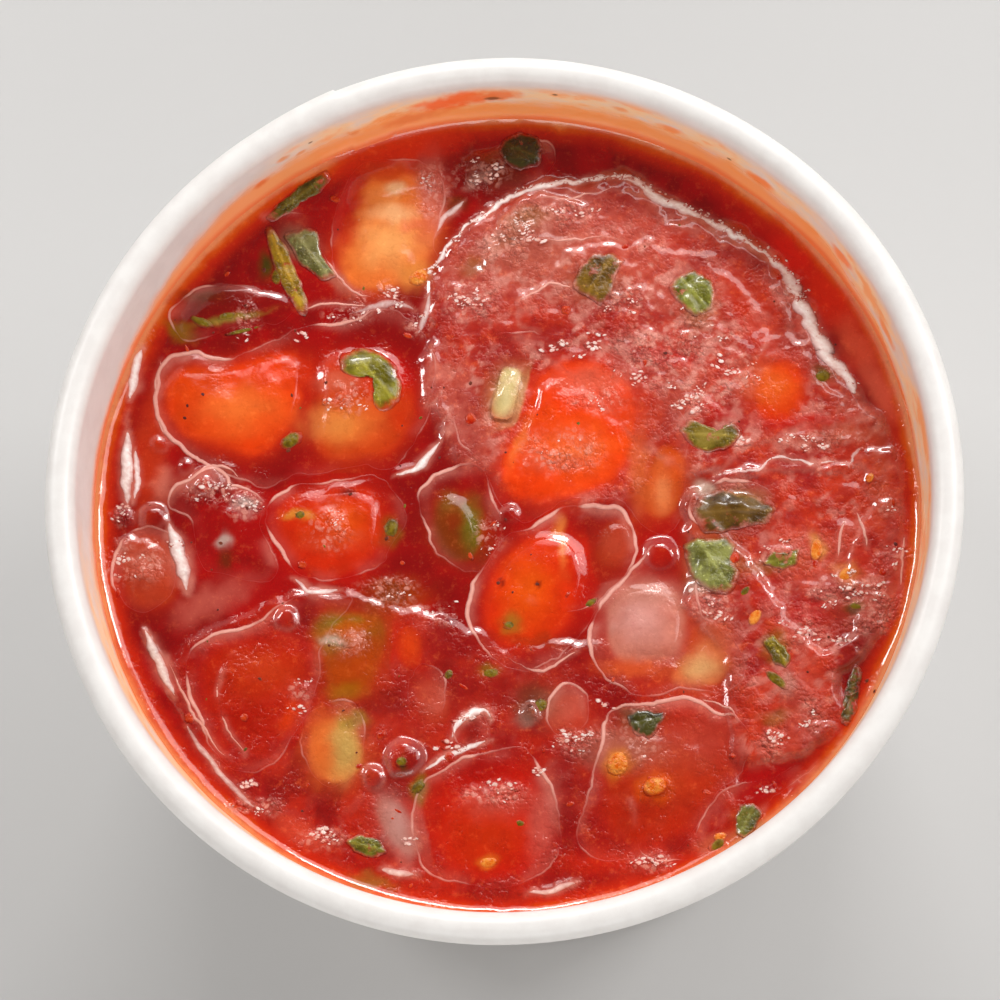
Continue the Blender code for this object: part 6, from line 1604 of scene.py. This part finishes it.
def bits_mesh(name, rows, seed, ragged=0.22):
    """Closed lens-shaped bits with ragged edges, each pressed half into the surface."""
    rings = ((0.55, 0.8), (0.9, 0.45), (1.0, 0.0), (0.6, -0.7))
    sides = 12
    points, faces, reaches = [], [], []
    rng = np.random.default_rng(seed)
    for x, y, half_length, half_width, turn in rows:
        turn = math.radians(turn)
        thick = 0.3 * half_width
        first = len(points)
        uneven = 1 + rng.uniform(-ragged, ragged, sides)
        level = float(over_grid(film_height, np.array([x * MM]), np.array([y * MM]))[0])
        lines = [(0.0, 0.0, 1.0)]
        for radius, height in rings:
            for side in range(sides):
                around = 2 * math.pi * side / sides
                reach_out = radius * uneven[side]
                lines.append((reach_out * math.cos(around), reach_out * math.sin(around), height))
        lines.append((0.0, 0.0, -0.9))
        reaches += [math.hypot(along, across) for along, across, _ in lines]
        for along, across, height in lines:
            points.append((
                (x + half_length * along * math.cos(turn) - half_width * across * math.sin(turn)) * MM,
                (y + half_length * along * math.sin(turn) + half_width * across * math.cos(turn)) * MM,
                level + (-0.2 * thick + height * thick) * MM,
            ))
        last = len(points) - 1
        for side in range(sides):
            after = (side + 1) % sides
            faces.append((first, first + 1 + side, first + 1 + after))
            for ring in range(len(rings) - 1):
                low, high = first + 1 + ring * sides, first + 1 + (ring + 1) * sides
                faces.append((low + side, high + side, high + after, low + after))
            low = first + 1 + (len(rings) - 1) * sides
            faces.append((low + side, last, low + after))
    data = mesh_from(name, points, faces)
    x, y, _ = np.array(points).T
    set_values(data, "edge", reaches)
    set_colours(data, "tone", surface_tone(x, y)[0])
    return data


def bit_material(name, colour, second, roughness, soft=0.85):
    skin, tree, shader = new_material(name)
    place = tree.nodes.new("ShaderNodeTexCoord").outputs["Object"]
    mottle = noise(tree, place, 1600.0, 4.0, 0.6)
    tone = mix(tree, remap(tree, mottle, 0.35, 0.65), seen(*colour), seen(*second))
    fringe = math_node(tree, "MULTIPLY_ADD", mottle, 0.5, attribute(tree, "edge"))
    tone = mix(tree, remap(tree, fringe, soft, soft + 0.45), tone, attribute(tree, "tone", "Color"))
    tree.links.new(tone, shader.inputs["Base Color"])
    tree.links.new(remap(tree, mottle, 0.3, 0.7, roughness, roughness + 0.15), shader.inputs["Roughness"])
    add_wet_grain(tree, shader, place, 0.5, 0.3)
    shader.inputs["Specular IOR Level"].default_value = 0.25
    return skin


# The onion dice is clean: its middle and reach in millimetres
ONION = (11.9, -9.9, 3.8)


def scattered(count, low, high, slender, seed):
    """Places for small bits strewn over the sauce, away from the wall and the onion."""
    rng = np.random.default_rng(seed)
    rows = []
    while len(rows) < count:
        x, y = rng.uniform(-34, 34, 2)
        on_onion = math.hypot(x - ONION[0], y - ONION[1]) < ONION[2]
        if math.hypot(x, y) < contact_radius / MM - 1.2 and not on_onion:
            size = rng.uniform(low, high)
            rows.append((x, y, size, size * rng.uniform(slender, 1.0), rng.uniform(0, 180)))
    return rows


# Cream-white lumps of froth and crushed flesh, their white partly painted sparkle: place, reach each way, and how many
WHITE_LUMPS_AND_SPARKLES = (
    (-4, 18.3, 1.8, 1.1, 14), (-10.6, 19.3, 1.2, 0.7, 7), (1.8, 24.2, 1.7, 0.8, 9),
    (-1, 29.7, 1.7, 0.9, 8), (8, 14.2, 1.7, 0.8, 8), (11.4, 11.2, 2, 0.8, 12),
    (15.7, 9, 2.2, 0.9, 12), (18.4, 12, 0.9, 1.1, 7), (19.8, 5.6, 1.8, 0.5, 8),
    (26.6, 5.1, 2.2, 0.4, 7), (24.9, -11.1, 0.7, 1, 8), (29.8, -7.5, 0.6, 0.8, 5),
    (28.5, -6.3, 0.8, 0.5, 5), (17.8, -9.5, 0.5, 0.4, 4), (16.7, -7.3, 0.8, 0.4, 5),
    (20.6, -1.5, 1, 0.4, 6), (-6.5, 20.9, 0.5, 0.4, 4), (-24.6, 1.9, 0.8, 0.4, 5),
    (-22.4, 0.5, 0.8, 0.4, 5), (-32, 0.1, 0.7, 0.4, 5), (-3.1, -18.1, 1.1, 0.4, 6),
    (-4.2, -20.8, 1.1, 0.4, 5), (-0.5, -23.8, 0.8, 0.4, 6), (-15.1, -28.1, 0.8, 0.4, 6),
    (-21.3, -23.9, 1.2, 0.4, 6), (-17, -17.2, 0.5, 0.5, 4), (-7.5, -28.3, 0.8, 0.4, 4),
    (5.8, -19.9, 1.1, 0.6, 8), (8.3, -17.4, 0.5, 0.4, 4), (22.3, -20.4, 0.6, 0.7, 5),
    (3.2, -22.5, 0.7, 0.4, 4), (4.6, 14.2, 1, 0.7, 5), (-17.7, 15.3, 0.7, 0.4, 3),
    (-15, 9, 0.6, 0.6, 3), (12.5, -30.3, 1, 0.4, 5), (21.1, -24.4, 0.7, 0.5, 4),
    (-32.5, -4.6, 0.7, 0.5, 4), (-27.9, -3.3, 0.5, 0.4, 3), (28.3, -11.8, 1, 0.7, 5),
    (31.3, -8.4, 0.4, 1.1, 4), (5.5, 26, 1.3, 0.5, 4),
)


def lumps_and_sparkles(seed):
    """Places for the cream-white lumps, partly painted sparkle, strewn round where they gather."""
    rng = np.random.default_rng(seed)
    rows = []
    for middle_x, middle_y, reach_x, reach_y, count in WHITE_LUMPS_AND_SPARKLES:
        nests = rng.normal((middle_x, middle_y), (0.5 * reach_x, 0.45 * reach_y), (1 + count // 4, 2))
        for step in range(2 * count):
            x, y = nests[step % len(nests)] + rng.normal(0, (0.34, 0.2))
            size = rng.uniform(0.16, 0.44)
            if math.hypot(x, y) < contact_radius / MM - 0.8:
                rows.append((x, y, size, size * rng.uniform(0.4, 0.75), rng.uniform(-35, 35)))
    return rows


def sparkle_beads(seed):
    """Places for tiny white beads of painted sparkle: clusters in the rough spots and along the white streaks."""
    rng = np.random.default_rng(seed)
    nests = []
    for x, y, reach_x, reach_y in ROUGH_SPOTS:
        for _ in range(rng.integers(2, 5)):
            nests.append((x + rng.normal(0, 0.45 * reach_x), y + rng.normal(0, 0.45 * reach_y)))
    for half_width, _, line in HIGHLIGHT_STREAKS[:4]:
        shore = curve_through(line, False)
        for x, y in shore[::6]:
            out = 0.7 * half_width / math.hypot(x - 12, y - 8)
            nests.append((x + (x - 12) * out, y + (y - 8) * out))
    rows = []
    for nest_x, nest_y in nests:
        for _ in range(rng.integers(3, 8)):
            x, y = nest_x + rng.normal(0, 0.3), nest_y + rng.normal(0, 0.16)
            size = rng.uniform(0.09, 0.3)
            turn = rng.uniform(-40, 60)
            if math.hypot(x, y) < contact_radius / MM - 0.8:
                rows.append((x, y, size, size * rng.uniform(0.3, 0.7), turn))
    return rows


seeds = add_piece("tomato_seeds", bits_mesh("tomato_seeds", SEEDS, 5, 0.07), "tomato_flesh")
seeds.data.materials.append(bit_material("seed_in_gel", (226, 104, 40), (244, 158, 74), 0.22))
herb_bits = add_piece("herb_flecks", bits_mesh("herb_flecks", GREEN_BITS + tuple(scattered(12, 0.12, 0.26, 0.3, 8)), 6), "herb")
herb_bits.data.materials.append(bit_material("herb_fleck", (98, 80, 30), (136, 116, 44), 0.3))
speck_rows = [(x, y, 0.24, 0.18, 40 * turn) for turn, (x, y) in enumerate(SPECKS)]
pepper_bits = add_piece("pepper_specks", bits_mesh("pepper_specks", speck_rows + scattered(50, 0.08, 0.17, 0.5, 9), 7), "pepper")
pepper_bits.data.materials.append(bit_material("ground_pepper", (92, 36, 20), (116, 56, 30), 0.5))
flesh_bits = add_piece("flesh_shreds", bits_mesh("flesh_shreds", scattered(40, 0.2, 0.6, 0.25, 10), 11), "tomato_flesh")
flesh_bits.data.materials.append(bit_material("flesh_shred", (182, 44, 24), (212, 78, 50), 0.2))
# Painted sparkles: tiny white beads, and cream lumps partly of crushed flesh, that stand for glints of light on the wet
# surface
sparkle_bits = add_piece("sparkle_beads", bits_mesh("sparkle_beads", sparkle_beads(14) + lumps_and_sparkles(16), 15, 0.5), "sauce")
sparkle_bits.data.materials.append(bit_material("sparkle_bead", (252, 230, 222), (238, 176, 162), 0.2, 0.6))


# Floor, light and camera
# A pale floor, small bright windows high on the far side and the two sides with a wide dim
# one behind them, a low panel on the near side, and the camera looking down into the cup
# from the near side, as in the photograph.
bpy.ops.mesh.primitive_plane_add(size=4.0, location=(0, 0, -0.0002))
floor = bpy.context.object
floor.name = "floor"
floor_skin, floor_tree, floor_shader = new_material("pale_floor")
floor_place = floor_tree.nodes.new("ShaderNodeTexCoord").outputs["Object"]
floor_tone = mix(floor_tree, noise(floor_tree, floor_place, 6.0), (0.5, 0.49, 0.48, 1), (0.54, 0.53, 0.52, 1))
floor_tree.links.new(floor_tone, floor_shader.inputs["Base Color"])
floor_shader.inputs["Roughness"].default_value = 0.7
floor.data.materials.append(floor_skin)


def panel(name, azimuth, elevation, distance, width, height, brightness):
    """A soft light whose surface has one given brightness, aimed at the cup's mouth."""
    lamp = bpy.data.lights.new(name, "AREA")
    lamp.shape = "RECTANGLE"
    lamp.size = width
    lamp.size_y = height
    lamp.energy = brightness * math.pi * width * height
    holder = bpy.data.objects.new(name, lamp)
    bpy.context.scene.collection.objects.link(holder)
    turn, tilt = math.radians(azimuth), math.radians(elevation)
    back = Vector((math.cos(turn) * math.cos(tilt), math.sin(turn) * math.cos(tilt), math.sin(tilt)))
    holder.location = Vector((0, 0, 0.042)) + back * distance
    holder.rotation_euler = back.to_track_quat("Z", "Y").to_euler()
    return holder


panel("far_window", 88, 40, 1.0, 0.36, 0.11, 26.0)
panel("right_window", 30, 38, 1.0, 0.3, 0.11, 27.0)
panel("left_window", 150, 38, 1.0, 0.28, 0.11, 24.0)
panel("wide_far_panel", 80, 46, 1.1, 0.9, 0.35, 3.5)
panel("wide_right_panel", 25, 46, 1.1, 0.6, 0.35, 3.5)
panel("low_near_panel", -90, 22, 1.1, 1.2, 0.4, 3.4)

# A room that is pale round the horizon and darker overhead
world = bpy.data.worlds.new("room")
world.use_nodes = True
room = world.node_tree
toward = node(room, "ShaderNodeSeparateXYZ", inputs={"Vector": room.nodes.new("ShaderNodeTexCoord").outputs["Generated"]})
glow = remap(room, toward.outputs["Z"], 0.5, 0.8, 0.7, 0.1)
room.nodes["Background"].inputs["Color"].default_value = (1.0, 0.98, 0.96, 1)
room.links.new(glow, room.nodes["Background"].inputs["Strength"])
bpy.context.scene.world = world

TILT = math.radians(15.965)
AZIMUTH = math.radians(10.113)
AIM = Vector((-0.114 * MM, -1.214 * MM, 46.7 * MM))
DISTANCE = 280 * MM
camera_data = bpy.data.cameras.new("camera")
camera_data.lens = 122.18
camera_data.sensor_width = 36.0
camera_data.clip_start = 0.01
camera = bpy.data.objects.new("camera", camera_data)
bpy.context.scene.collection.objects.link(camera)
near_side = Vector((math.sin(AZIMUTH), -math.cos(AZIMUTH), 0.0))
back = math.sin(TILT) * near_side + math.cos(TILT) * Vector((0, 0, 1))
level_right = (-back).cross(Vector((0, 0, 1))).normalized()
level_up = level_right.cross(-back)
right = math.cos(-AZIMUTH) * level_right + math.sin(-AZIMUTH) * level_up
up = -math.sin(-AZIMUTH) * level_right + math.cos(-AZIMUTH) * level_up
camera.location = AIM + back * DISTANCE
turned = np.array([right, up, back]).T
from mathutils import Matrix
camera.rotation_euler = Matrix(turned.tolist()).to_euler()
bpy.context.scene.camera = camera
bpy.context.scene.view_settings.view_transform = "Standard"
